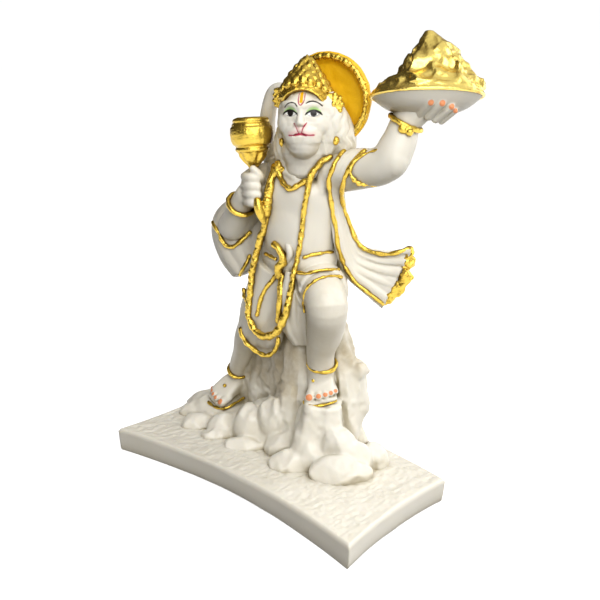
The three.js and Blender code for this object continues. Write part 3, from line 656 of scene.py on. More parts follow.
body = {
    "clay": ((-32, -8, 48), (48, 36, 126), 0.45),
    "trunk": [
        (2, 12.6, 56, 11.8, 8.6), (2, 12.6, 67, 12, 8.7), (2, 11.4, 74, 12.6, 9.2), (2.2, 11.5, 82, 13, 8.8),
        (2.4, 11.8, 90, 13.4, 8.4), (2.8, 12.4, 96, 11.6, 7), (4.2, 11.8, 100, 7.4, 6.2),
        (5.8, 10.2, 106, 6.4, 6),
    ],
    # chest and belly: middle, half sizes, how softly each joins
    "muscles": [
        ((-1.6, 6, 90), (5.2, 2.4, 4.6), 2.4), ((8, 7.4, 90.5), (5.2, 2.4, 4.6), 2.4),
        ((2.8, 4.4, 77), (6.2, 2.2, 6.6), 3),
    ],
    "collarbones": [
        [(-8, 9.4, 99, 1.1), (0, 6.4, 98, 1.2), (6, 5.6, 96, 0.9)],
        [(14, 12, 100, 1.1), (10, 9, 98, 1.2), (7, 6.8, 95.6, 0.9)],
    ],
    "leftArm": [
        (14.5, 15.5, 97.5, 6.8), (24, 16.6, 99, 6.1), (32.6, 17.2, 101.6, 5.8), (36, 18.6, 107.4, 5.4),
        (37.4, 20, 113.5, 4.6), (39.6, 21.6, 118, 5.4),
    ],
    "elbow": ((36.4, 16.6, 103), (4, 4, 5)),
    "rightArm": [
        (-10.5, 12, 92.5, 6.8), (-17.5, 10, 85, 5.9), (-23.4, 6.4, 76, 5.4), (-19.6, 4.6, 80, 4.6),
        (-15.4, 3, 85.2, 3.9), (-12, 2, 89, 3.6),
    ],
    "tail": [
        (0, 25, 56, 2.6), (-9, 26, 68, 2.9), (-14, 22, 84, 3), (-14.2, 16, 100, 2.9), (-12.2, 12.4, 112, 2.6),
        (-9, 12.6, 121, 2.5), (-5.4, 12.8, 121.6, 2.3), (-3.6, 12.6, 116.5, 1.6),
    ],
    # the robe's edge beside the neck
    "panel": [(14.4, 11.6, 100.6, 1.6), (13.6, 10.6, 97, 1.8), (13, 10.2, 92, 1.8)],
    # the fist, from the point that it grips on the mace
    "grip": 0.22,  # share of the way up the mace
    "palm": ((-2.2, 1.4, -1.4), (4.4, 3.3, 6.6)),
    "finger": 1.55,
    "knuckles": [-2.1, -1.1, -0.1, 0.9],  # places of the fingers along it, in finger spacings
    "spacing": 2.7,
    "curl": [(-4.2, 0.8, -0.4, 1), (-2.4, -1.8, 0, 1), (1, -2.8, 0.2, 1), (2.8, -1.2, 0, 0.9)],
    "thumb": [(1.4, 1.6, 1, 1.5), (2.6, -0.6, 3.4, 1.4), (1.2, -2.2, 5.6, 1.1)],
}


def addFist(clay):
    foot, top = np.array(pose["maceFoot"]), np.array(pose["maceTop"])
    grip = foot * (1 - body["grip"]) + top * body["grip"]
    palm, radii = body["palm"]
    clay.add(ball(grip + palm, radii), 1.4)
    for n in body["knuckles"]:
        x, y, z = grip + unit(top - foot) * n * body["spacing"]
        r = body["finger"] - 0.06 * abs(n)
        finger = [(x + right, y + back, z + up, r * share) for right, back, up, share in body["curl"]]
        clay.add(limb(finger, upright, 18), 1.0)
    clay.add(limb([(*(grip + s[:3]), s[3]) for s in body["thumb"]], upright, 18), 0.4)


def makeBody():
    clay = Clay(*body["clay"])
    clay.add(limb(body["trunk"], around=60))
    for centre, radii, blend in body["muscles"]:
        clay.add(ball(centre, radii), blend)
    for bone in body["collarbones"]:
        clay.add(limb(bone, around=16), 2)
    level = (0, 1, 0)
    clay.add(limb(body["leftArm"], level, around=40), 1.6)
    clay.add(ball(*body["elbow"]), 2.4)
    clay.add(limb(body["rightArm"], level, around=40), 1.4)
    clay.add(limb(body["tail"], level, around=24), 0.6)
    addFist(clay)
    clay.relief(lambda p: 0.1 * grit(p, 7, 21))
    clay.add(limb(body["panel"], around=24), 1.2)
    finishPiece(clay.harden("bodyAndArms"), *whiteFinish)


makeBody()

# The wrapped lower cloth with its belt

lowerCloth = {
    "clay": ((-26, -6, 30), (28, 28, 78), 0.4),
    "seat": [(2, 12.6, 66, 11.8, 9.4), (1.4, 12.6, 58, 13, 10.2), (0.4, 12.4, 48, 9, 7.4)],
    "skirt": [
        (-3, 8, 64, 9, 6), (-7, 7.4, 54, 9, 6.6), (-10.4, 7, 45, 8.6, 6.6), (-12.2, 8.4, 38.6, 8, 6.4),
        (-12.6, 11.6, 35.4, 7.4, 6),
    ],
    "leftThigh": [(9.5, 13, 59, 9.4), (13.6, 10, 60, 8.9), (17, 7.2, 59.8, 8.2)],
    "belt": [(2, 12.6, 65, 12.6, 9.5), (2.1, 12.3, 68.5, 13.4, 10.2), (2.2, 12, 72, 12.7, 9.5)],
    "flap": [
        (-6.4, 6.6, 47, 6, 3), (-6.9, 5.6, 42, 6.6, 3), (-7.1, 5, 38, 5.6, 2.4), (-7, 4.8, 36, 3.4, 1.4),
    ],
    "bow": [(4.6, 3.2, 74.6, 0.8), (6, 2.8, 74, 1.2), (6.6, 2.8, 71.6, 1.2), (5.4, 2.8, 69, 0.8)],
    "pleatsRight": [(5, 2.4, 66), (4, 0.8, 56), (3.6, 2.2, 47), (4.4, 6.4, 40)],
    "pleatsLeft": [(12, 4.6, 66), (12.4, 4.6, 56), (10.8, 6.6, 47), (9.4, 9.4, 40)],
    "creases": 4,
}


def makeLowerCloth():
    clay = Clay(*lowerCloth["clay"])
    clay.add(limb(lowerCloth["seat"], around=60))
    wander = {"drift": lambda s: 0.05 * np.sin(5 * s), "around": 120, "perSpan": 12, "blunt": 0.1}
    clay.add(pleated(lowerCloth["skirt"], 11, 0.045, 0.15, **wander), 1.2)
    pleat = carvedFolds(4, 0.4)
    rails = lowerCloth["pleatsRight"], lowerCloth["pleatsLeft"]
    clay.add(cloth(*rails, 2.2, lambda u, v: 0.55 * (0.3 + v) * pleat(u)), 1.2)
    clay.add(limb(lowerCloth["leftThigh"], around=50, blunt=0.1), 1.2)
    clay.add(pleated(lowerCloth["flap"], 9, 0.07, 0, around=120, perSpan=10, blunt=0.2), 0.5)
    clay.add(limb(lowerCloth["bow"], around=24), 0.3)
    for n in range(lowerCloth["creases"]):  # they fan from the hip over the left thigh
        middle, end = (11 + n, 1.4, 62.6 - 3 * n), (15.5, 0.6 + n * 0.3, 62 - 4 * n)
        clay.cut(tube([(6 + n, 3.4 + n * 0.2, 66 - n), middle, end], 0.3, 10), 1.2)
    clay.add(limb(lowerCloth["belt"], around=60, blunt=0.05), 0.3)
    finishPiece(clay.harden("lowerCloth"), *whiteFinish)


makeLowerCloth()

# The long scarf

scarf = {
    "clay": ((-36, -2, 40), (46, 38, 110), 0.42),
    "thick": 2.0,
    "inner": [
        (15, 22, 101.5), (17.8, 16, 103.8), (17.2, 11.5, 101.7), (16.8, 9.6, 98.2), (16.2, 10.4, 94),
        (15.9, 11.8, 89.1), (15.7, 13.2, 82.5), (16.1, 14.8, 74.2), (16.6, 16.4, 68.9), (18.9, 18.4, 62.9),
        (23.2, 21, 58.4), (28.2, 24.4, 53.2),
    ],
    "outer": [
        (22, 24, 102), (25.3, 17, 104.6), (24.2, 12.5, 102.3), (22.8, 10.6, 97.8), (18.9, 13.5, 92.4),
        (16.5, 16.5, 88.6), (15.4, 19, 84.2), (16.1, 20.8, 79.8), (18.2, 22, 75.6), (20, 23, 72.7),
        (27, 25.7, 71.8), (35.2, 29.4, 73.3),
    ],
    "back": [
        (1.6, 15.5, 98.5, 12, 4.6), (0.8, 18.6, 90, 13, 4.4), (0.4, 20, 76, 13, 4), (0.2, 21, 62, 13, 4.2),
        (0, 22, 48, 12.4, 4.4),
    ],
    "drop": [
        (-22.8, 9.5, 80, 7, 4.8), (-26.4, 8.6, 74.4, 8, 5.2), (-25.2, 9.2, 67, 7.4, 4.9),
        (-21.6, 9.8, 60, 5.2, 4),
    ],
    "behind": [(-10, 16, 97, 5, 4), (-17, 16, 86, 6, 4.4), (-20.5, 14, 74, 6, 4.6), (-18, 15, 62, 5.4, 4)],
    # the gathered gold hem at its end
    "hem": [
        (34.2, 29.2, 73.2, 1.9, 1.3), (34.6, 29, 70.6, 2.1, 1.4), (34, 28.6, 67.3, 2.1, 1.3),
        (34, 28.2, 64.4, 2.2, 1.4), (32.4, 27.4, 60.8, 2.1, 1.3), (30.2, 26.2, 57.9, 2.1, 1.4),
        (28.4, 25, 55.6, 1.8, 1.2), (27.6, 24.4, 54.6, 1.2, 0.9),
    ],
}


def capeFold(u, v):
    ridge = carvedFolds(5, 0.3)(u)
    frill = np.sin(2 * math.pi * 5.5 * u + 1) * np.clip((v - 0.86) / 0.14, 0, 1)
    return (0.12 + 0.75 * v**2) * ridge + 0.7 * frill


def makeScarf():
    clay = Clay(*scarf["clay"])
    wander = {"drift": lambda s: 0.02 * np.sin(6 * s), "around": 160, "perSpan": 10}
    clay.add(pleated(scarf["back"], 13, 0.05, 0.3, **wander))
    clay.add(cloth(scarf["inner"], scarf["outer"], scarf["thick"], capeFold), 1.0)
    slant = {"drift": lambda s: 0.08 * s, "around": 100, "perSpan": 10, "blunt": 0.4}
    clay.add(pleated(scarf["drop"], 7, 0.07, 0.2, **slant), 1.0)
    clay.add(limb(scarf["behind"], around=50), 1.0)
    finishPiece(clay.harden("scarf"), *whiteFinish)


makeScarf()

# The head: a monkey's face in a soft mane

head = {
    "clay": ((-10, -6, 92), (30, 28, 128), 0.25),
    "lidWidth": 2.05,
    "lidHeight": 0.85,
    "locks": 2.3,  # mm between hair locks
    # places are left, forward and up from the head's middle
    # rounded masses: middle, half sizes, points round them, how softly each joins
    "skull": ((0, 0, 0), (8.1, 8.4, 9.2), 60, 0.8),
    "nape": ((0, -5, -6), (8, 6, 11), 50, 1.0),
    "beard": ((0, -1, -11), (8, 5, 5), 28, 2.5),
    "muzzle": ((0, 5, -5.6), (5.6, 4.4, 4), 50, 2.6),
    "chin": ((0, 4.6, -8), (4.4, 4.2, 4.3), 50, 2.4),
    "lip": ((0, 7.4, -4), (3.4, 2.1, 1.7), 40, 1.6),
    # then, on the viewer's right, and mirrored for the left
    "cheek": ((4.6, 4.4, -2.4), (3.2, 3, 3.4), 40, 2.4),
    "eyeball": ((3.5, 6.4, 1.0), (2.3, 1.3, 1.2), 30, 0.6),
    "nostril": ((1.1, 9, -2.3), (0.8, 0.8, 0.7), 24, 0.8),
    "crease": [(1.9, 9, -1.9), (1.1, 9.8, -3.4), (0.4, 9.7, -4.6)],
    # strips: place, half width, half depth
    "maneLeft": [
        (6.4, 0.6, 5, 2.8, 4), (9.2, -0.8, -1, 3.6, 5), (10.8, -2.2, -6, 4.1, 5.2), (10.8, -3.8, -11, 4.1, 5),
        (9.4, -5, -15, 3.4, 4.4),
    ],
    "maneRight": [
        (-4.8, -1.6, 5, 2.6, 4), (-5.2, -3, -1, 2.6, 4.6), (-6.4, -4, -6, 3.4, 5), (-7.2, -4.8, -11, 3.8, 5),
        (-6.4, -5, -15, 3.4, 4.4),
    ],
    "jaw": [(6.6, 2.4, 3, 2), (7.4, 2, -1.5, 2.6), (7.6, 1.6, -6, 2.8), (6.6, 1, -10.5, 2.4)],
    "throat": [(0, 1.6, -8.4, 5.8, 4.2), (0, 0.4, -12.6, 5.8, 3.8), (0, -0.8, -17, 6, 4)],
    "brow": [
        (-5.6, 5.4, 3.5, 0.7), (-2.8, 7.2, 3.7, 0.9), (0, 7.7, 3, 0.8), (2.8, 7.2, 3.7, 0.9),
        (5.6, 5.4, 3.5, 0.7),
    ],
    "nose": [(0, 7.7, 3, 0.8), (0, 8.5, 0.4, 0.9), (0, 9.4, -1.8, 1.15)],
    "smile": [(-4.4, 6.6, -5.5), (-2, 8.9, -5.4), (0, 9.6, -4.9), (2, 8.9, -5.4), (4.4, 6.6, -5.5)],
}

# Brush strokes on the face as (left, up) from the head's middle, then the brush's half width
faceStrokes = {
    "black": [
        ([(-5.5, 2.6), (-4.6, 3.6), (-3.2, 4.15), (-2, 3.9), (-1.3, 3)], 0.17),
        ([(1.4, 4), (2.5, 4.5), (4, 4.4), (4.9, 4), (5.8, 3.2)], 0.19),
    ],
    "red": [
        ([(-1.2, 6.6), (-1.1, 4.4), (-0.3, 3.4), (0.5, 4.4), (0.6, 6.6)], 0.16),
        ([(-2.2, -1.9), (-1.3, -3.2), (-0.7, -4.6)], 0.17),
        ([(1.6, -1.7), (0.7, -3.1), (0.25, -4.6)], 0.17),
        ([(-3.7, -5.4), (-2, -5.3), (-0.4, -4.85), (0.5, -4.8), (2.3, -5.2), (3.9, -5.2)], 0.19),
        ([(-1.8, -5.25), (-0.4, -4.95), (0.5, -4.95), (1.6, -5.2)], 0.36),
    ],
    "yellow": [([(-0.3, 6.6), (-0.3, 5.2), (-0.3, 4.5)], 0.5)],
    "blush": [([(-3.4, -5), (0, -4.4), (3.4, -5)], 0.5), ([(-1.6, -2.4), (0, -4), (1.2, -2.4)], 0.4)],
}
# enamel, laid in this order: lids, blush, eyes, lines and the mark on the brow
faceEnamels = [
    ("green", "#A9D47C", 0.5), ("blush", "#EFC9C4", 0.7), ("white", "#FBFBF8", 0.1), ("iris", "#33200F", 0.1),
    ("black", "#140D0B", 0.08), ("red", "#B02A48", 0.1), ("yellow", "#F2B712", 0.08),
]


def maneRelief(points):  # wavy locks that fall from the temples to the shoulders
    reach = points - np.array(pose["head"])
    left, forward, up = reach @ headSide, reach @ headFront, reach[:, 2]
    beside = np.where(left > 0, left - 6.6, -left - 5.6) - 0.25 * forward
    hairy = np.clip(beside / 1.5, 0, 1) * np.clip((8 - up) / 2, 0, 1)
    round_ = np.arctan2(left, -forward - 3) * 9 + 0.8 * np.sin(0.45 * up + 0.8) + 0.35 * np.sin(1.3 * up)
    strand = np.abs(np.sin(math.pi * round_ / head["locks"]))
    fine = np.abs(np.sin(math.pi * round_ / 0.75 + 0.5 * np.sin(0.7 * up)))
    return hairy * (0.4 * strand + 0.1 * fine - 0.26)


def makeHead():
    clay = Clay(*head["clay"])

    def lump(name, hand=1):
        (left, forward, up), radii, around, blend = head[name]
        clay.add(ball(onHead(hand * left, forward, up), radii, headSide, around), blend)

    def strip(name, around, blend):
        clay.add(limb([(*onHead(*s[:3]), *s[3:]) for s in head[name]], headSide, around), blend)

    lump("skull")
    lump("nape")
    strip("maneLeft", 40, 3.0)
    strip("maneRight", 40, 3.0)
    lump("beard")
    strip("jaw", 24, 2.2)
    clay.relief(maneRelief)
    lump("muzzle")
    lump("chin")
    strip("throat", 40, 3)
    lump("lip")
    strip("brow", 20, 1.8)
    strip("nose", 20, 1.4)
    for hand in (1, -1):
        lump("cheek", hand)
        lump("eyeball", hand)
        lump("nostril", hand)
        clay.cut(ball(onHead(hand * 0.7, 10, -2.9), (0.35, 0.5, 0.3), headSide, around=20), 0.5)
        crease = [onHead(hand * left, forward, up) for left, forward, up in head["crease"]]
        clay.cut(tube(crease, 0.2, 10, 6), 0.5)
    clay.cut(tube([onHead(*s) for s in head["smile"]], 0.22, 10), 0.7)
    made = clay.harden("head")
    for name, layer in paintFace(pointsOf(made)).items():
        setLayer(made, name, layer)
    finishPiece(made, castResin("enamelled face", faceEnamels), "white_resin")


def paintFace(points):
    reach = points - np.array(pose["head"])
    left, forward, up = reach @ headSide - 0.3, reach @ headFront, reach[:, 2]
    flat = np.column_stack([left, up, np.zeros(len(left))])
    layers = {name: np.full(len(points), unpainted) for name, *_ in faceEnamels}
    for name, strokes in faceStrokes.items():
        for line, width in strokes:
            path = spline([(*p, 0) for p in line], 5)
            layers[name] = np.maximum(layers[name], width - nearness(flat, path))
    apart, _, level = head["eyeball"][0]
    for hand in (1, -1):
        across = (left - hand * apart) / head["lidWidth"]
        rise = up - level
        lid = head["lidHeight"] * (1 - across**2)
        round_ = np.hypot(left - hand * apart, rise - 0.1)
        shade = np.minimum(rise - lid * 0.9, 1.5 - 0.9 * across**2 - rise + lid * 0.5)
        for name, layer in (
            ("white", np.minimum(lid - np.abs(rise), 1.02 - np.abs(across))),
            ("iris", np.minimum(0.94 - round_, lid - np.abs(rise))),
            ("black", 0.8 - round_),  # the pupil
            ("black", 0.34 - np.abs(rise - lid) - 2 * np.maximum(np.abs(across) - 1.12, 0)),  # lashes
            ("black", 0.07 - np.abs(rise + lid) - 2 * np.maximum(np.abs(across) - 0.95, 0)),
            ("green", shade - 3 * np.maximum(np.abs(across) - 0.95, 0)),
        ):
            layers[name] = np.maximum(layers[name], layer)
    return {name: np.where(forward > 3, layer, unpainted) for name, layer in layers.items()}


makeHead()

# The crown

crown = {
    "clay": ((-6, -6, 110), (26, 26, 136), 0.25),
    "tiers": [
        (0, -1.4), (7.9, -1), (8.4, 0), (8.3, 1.4), (7.5, 2.4), (6.4, 4.4), (4.9, 7), (3.2, 9.4), (1.6, 11.4),
        (0, 12.6),
    ],
    "foot": onHead(0, 0, 4.4),
    "tip": onHead(0.2, -1.8, 17),
    # rows of leaves: height, radius, how many, and their size
    "rows": [
        (3, 7.3, 17, 1.35), (4.9, 6.2, 14, 1.35), (7.1, 4.8, 11, 1.3), (9.2, 3.3, 8, 1.2), (11, 1.7, 5, 1.1),
    ],
    "arch": 3.4,  # how much higher the rows run over the brow
    # the rosettes over the ears: middle, half width, half height
    "wings": [((9, 1.9, 3.5), 3.3, 3.4), ((-8.9, -1.8, 5), 1.7, 2.9)],
    "petals": 9,
}


def addRosette(clay, centre, wide, high):
    centre = np.array(centre)
    clay.add(ball(onHead(*centre), (wide * 0.7, 1.6, high * 0.75), headSide), 0.5)
    for k in range(crown["petals"]):
        angle = 2 * math.pi * k / crown["petals"]
        petal = centre + [(wide - 0.9) * math.cos(angle), 0.9, (high - 0.9) * math.sin(angle)]
        curl = petal + [0.5 * math.cos(angle), 0.5, 0.6 * math.sin(angle)]
        line = [(*onHead(*(centre + [0, 1.3, 0])), 0.7), (*onHead(*petal), 1), (*onHead(*curl), 0.7)]
        clay.add(limb(line, headSide, 14), 0.2)
    clay.add(ball(onHead(*(centre + [0, 1.6, 0])), (1, 0.9, 1.1), headSide, 14), 0.2)


def makeCrown():
    clay = Clay(*crown["clay"])
    clay.add(turned(crown["tiers"], crown["foot"], crown["tip"], 80))
    foot, tip = np.array(crown["foot"]), np.array(crown["tip"])
    axis = unit(tip - foot)
    first = unit(headFront - (headFront @ axis) * axis)
    second = np.cross(axis, first)
    for n, (height, radius, count, size) in enumerate(crown["rows"]):
        for k in range(count):
            angle = 2 * math.pi * (k + 0.5 * (n % 2)) / count
            out = first * math.cos(angle) + second * math.sin(angle)
            lift = crown["arch"] * max(math.cos(angle), 0) ** 2 * (1 - height / 12)
            at = foot + axis * (height + lift) + out * (radius - 0.5 * lift)
            lean = axis * 0.9 - out * 0.55
            leaf = [
                (*(at - lean * 1.3), size * 0.75, 0.7), (*(at + out * 0.2), size, 0.95),
                (*(at + lean * 1.2), size * 0.75, 0.8), (*(at + lean * 2), size * 0.3, 0.5),
            ]
            clay.add(limb(leaf, np.cross(axis, out), 16, blunt=0.5), 0.3)
    for wing in crown["wings"]:
        addRosette(clay, *wing)
    clay.relief(lambda p: 0.2 * grit(p, 1.5, 31) + 0.1 * grit(p, 0.7, 32))
    clay.cut(ball(onHead(0, 9, -0.4), (8.1, 8, 8.6), headSide, around=60), 0.3)  # the face's opening
    finishPiece(clay.harden("crown"), *goldFinish)


makeCrown()

# The halo behind the head

halo = {
    "corners": ((-8, 4, 100), (28, 28, 138)),
    "dishGrain": 0.34,
    "rimGrain": 0.28,
    "dish": [
        (0, -2.6), (6, -2.4), (10, -2), (14.5, 0.4), (14.6, 2), (14, 2.4), (12.4, 1.8), (11, 0.6), (6, -0.4),
        (0, -0.6),
    ],
    "flutes": 56,
    "rimRadius": 13.2,
    "rimThick": 0.95,
    "rimForward": 2,
}


def makeHalo():
    middle, axis = np.array(pose["halo"]), unit(np.array(pose["haloFacing"]))
    clay = Clay(*halo["corners"], halo["dishGrain"])
    clay.add(turned(halo["dish"], middle, middle + pose["haloFacing"], 140))
    clay.relief(lambda p: 0.12 * grit(p, 1.8, 81))
    finishPiece(clay.harden("halo"), *amberFinish)
    clay = Clay(*halo["corners"], halo["rimGrain"])
    rim = middle + axis * halo["rimForward"], axis, halo["rimRadius"], halo["rimThick"]
    flutes = halo["flutes"] / 2
    clay.add(hoop(*rim, around=280, shape=lambda turn: 0.88 + 0.24 * np.abs(np.sin(flutes * turn))))
    clay.relief(lambda p: 0.3 * grit(p, 1.2, 83))
    finishPiece(clay.harden("haloRim"), *goldFinish)


makeHalo()

# The mace

mace = {
    "clay": ((-22, -8, 76), (6, 12, 118), 0.28),
    # radius, then how far below the top
    "profile": [
        (0, 0), (4.8, 0.1), (5.7, 0.6), (5.9, 1.3), (5.5, 1.8), (6.2, 2.2), (6.1, 2.8), (6.7, 3.3), (7, 5.2),
        (6.8, 7), (6.2, 8.4), (5.3, 9.1), (5, 9.4), (5.4, 9.8), (5.5, 10.3), (5.1, 10.8), (4.5, 11.1),
        (4.1, 12.4), (3.2, 13.7), (2, 15), (1.5, 16), (1.45, 25), (1.9, 26.2), (0, 27),
    ],
    "neck": (10.8, 15.6),  # the fluted stretch between the head's collar and the handle
    "flutes": 9,
    # the bud that hangs under the hand
    "leaf": [(-4, -0.9, 88.6, 1.1), (-3.6, -1, 86.4, 1.5), (-3, -0.5, 83.8, 1.4), (-2.6, 0.6, 81, 0.8)],
    "lobes": [(-1.9, 1.6, 88, 1.7), (-2.3, 1.6, 86, 1.8), (-2.8, 1.7, 84, 1.8), (-5.4, 0.6, 85.6, 1.3)],
}


def fluted(angle, height):
    top, foot = mace["neck"]
    neck = np.clip((height - top) / 0.6, 0, 1) * np.clip((foot - height) / 1.5, 0, 1)
    return 1 + 0.09 * neck * np.cos(mace["flutes"] * angle)


def makeMace():
    clay = Clay(*mace["clay"])
    clay.add(turned(mace["profile"], pose["maceTop"], pose["maceFoot"], 120, fluted))
    clay.add(limb(mace["leaf"], around=18), 0.3)
    for *place, r in mace["lobes"]:
        clay.add(ball(place, (r, r, r), around=18), 0.25)
    clay.relief(lambda p: 0.1 * grit(p, 1.6, 61))
    finishPiece(clay.harden("mace"), *goldFinish)


makeMace()

# The mountain on the palm

mountain = {
    "corners": ((22, 4, 108), (62, 44, 144)),
    "grain": 0.36,
    "halfWidth": 16.6,
    "halfDepth": 12.5,
    "turn": 42,
    "tipBack": 14,
    # share of the full width, height, shift to the viewer's right
    "bowl": [(0.3, -5.8, 0), (0.66, -3.8, 0), (0.9, -1.2, 0), (1, 0.4, 0)],
    "crag": [
        (1, 0.4, 0), (0.95, 1.6, 0), (0.8, 3.6, 1.5), (0.66, 5.8, 1.7), (0.53, 9.4, 1.3), (0.39, 12, 2.4),
        (0.23, 15, 1.7), (0.07, 18.7, 0.6),
    ],
    "lip": 0.55,
    # fingertips of the hand under it, where each finger starts, its radius
    "fingers": [
        ((47.8, 17, 120), (42.6, 19, 116.4), 1.25), ((50.2, 19.2, 119.8), (44.6, 20.6, 115.6), 1.3),
        ((51.6, 22, 118.8), (46, 22.4, 114.8), 1.25), ((51.4, 24.4, 117.6), (46.6, 24.6, 114.2), 1.1),
    ],
}


def onMountain(points):  # from the mountain's own directions, tipped back and turned, to the figure's
    lean = math.radians(-mountain["tipBack"])
    turn = math.radians(mountain["turn"])
    x, y, z = np.moveaxis(np.asarray(points, float), -1, 0)
    y, z = y * math.cos(lean) - z * math.sin(lean), y * math.sin(lean) + z * math.cos(lean)
    x, y = x * math.cos(turn) - y * math.sin(turn), x * math.sin(turn) + y * math.cos(turn)
    return np.stack([x, y, z], -1) + np.array(pose["mountain"])


def mountainRings(levels, ragged):
    angle = np.linspace(0, 2 * math.pi, 90, endpoint=False)
    rings = []
    for share, height, shift in spline(levels, 6):
        wave = ragged * (0.04 * np.sin(3 * angle + 1) + 0.05 * np.sin(7 * angle + height)) * (2 < height < 16)
        x = shift + mountain["halfWidth"] * share * (1 + wave) * np.cos(angle)
        y = mountain["halfDepth"] * share * (1 + wave) * np.sin(angle)
        rings.append(np.stack([x, y, np.full(len(angle), height)], 1))
    return skin(onMountain(rings))


def cragRelief(points):  # crumpled like foil, calm at the rim
    peakwards = onMountain((0, 0, 1)) - np.array(pose["mountain"])
    height = (points - np.array(pose["mountain"])) @ peakwards
    calm = np.minimum(np.clip((height - 0.8) / 3, 0.12, 1), np.clip((20 - height) / 6, 0.2, 1))
    return calm * (2.0 * (0.5 - np.abs(grit(points, 4.8, 41))) + 1.0 * (0.5 - np.abs(grit(points, 2.6, 42))))


def makeMountain():
    clay = Clay(*mountain["corners"], mountain["grain"])
    clay.add(mountainRings(mountain["crag"], 1))
    clay.relief(cragRelief)
    angle = np.linspace(0, 2 * math.pi, 60)
    x, y = mountain["halfWidth"] * np.cos(angle), mountain["halfDepth"] * np.sin(angle)
    rim = np.stack([x, y, 0.1 + 0 * angle], -1) * [0.985, 0.985, 1]
    clay.add(tube(onMountain(rim), mountain["lip"], 12, 2), 0.2)
    finishPiece(clay.harden("mountainCrag"), *foilFinish)
    clay = Clay(*mountain["corners"], mountain["grain"])
    clay.add(mountainRings(mountain["bowl"], 0))
    nails = []
    for tip, root, radius in mountain["fingers"]:
        clay.add(limb([(*root, radius), (*tip, radius * 0.85)], upright, 20), 0.7)
        back = unit(np.array(root) - np.array(tip)) * radius * 0.2
        nails.append((*(np.array(tip) - back + [0.25, -0.55, -0.2]), radius * 0.72))
    made = clay.harden("mountainBowl")
    setLayer(made, "nail", paintNails(pointsOf(made), nails))
    finishPiece(made, *nailedFinish)


makeMountain()

# The long garland: a rope of marigolds on the figure's right, a plain band on its left

garland = {
    "clay": ((-16, -6, 38), (20, 18, 108), 0.28),
    "band": [
        (16.8, 10.6, 103, 0.9), (15, 8.7, 101.4, 1), (13.2, 7.4, 99.3, 1.05), (12, 6.3, 96.3, 1.1),
        (11.5, 5.5, 92.6, 1), (11.1, 4.9, 87.9, 0.9), (10.5, 4.6, 83, 0.85), (10.2, 4, 76.7, 0.8),
        (9.3, 3.6, 71.7, 0.85), (8.8, 2.3, 66, 0.9), (8.5, 1.2, 60.5, 1), (7.8, 0.4, 55.4, 1.1),
        (6.6, -0.3, 50.2, 1.2), (3.4, -0.4, 45.8, 1.2),
    ],
    "rope": [
        (5, -0.5, 47.2, 1.1), (3.2, -0.5, 45.2, 1.25), (-1.6, -0.4, 42.6, 1.3), (-5.2, -0.6, 43, 1.25),
        (-8.2, -0.4, 45.2, 1.2), (-9.6, -0.5, 48, 1.15), (-9.8, 0, 52, 1.1), (-9.4, 0.6, 57.1, 1.1),
        (-9, 1, 63.2, 1.1), (-7.4, 1.5, 70, 1.15), (-5.6, 2, 75.2, 1.2), (-4, 2.2, 79.2, 1.3),
        (-3.5, 2.4, 83.1, 1.45), (-2.6, 2.2, 86.5, 1.5), (-2.1, 2.2, 89.8, 1.5), (-2, 2.9, 93, 1.4),
        (-2, 4, 95.6, 1.3), (-0.8, 4.6, 98.2, 1.2),
    ],
    "flowers": 52,
    "knot": [
        ((-1.6, 4.8, 98.2), 1.7), ((0.2, 4.7, 99.4), 1.5), ((1.2, 5.2, 97.8), 1.3), ((-0.6, 4.4, 97), 1.5),
    ],
}


def marigolds(angle, share):
    petals = 0.8 * np.sin(2 * angle + 9 * share)
    return 0.92 + 0.16 * np.abs(np.sin(math.pi * garland["flowers"] * share + petals))


def makeGarland():
    clay = Clay(*garland["clay"])
    clay.add(limb(garland["band"], around=20, perSpan=12))
    clay.add(limb(garland["rope"], around=24, perSpan=24, shape=marigolds), 0.4)
    for place, radius in garland["knot"]:
        clay.add(ball(place, (radius, radius * 0.8, radius)), 0.3)
    clay.relief(lambda p: 0.3 * grit(p, 1.2, 51))
    finishPiece(clay.harden("garland"), *goldFinish)


makeGarland()

# Gold edging that is brushed along the hems, and the knot's leaf

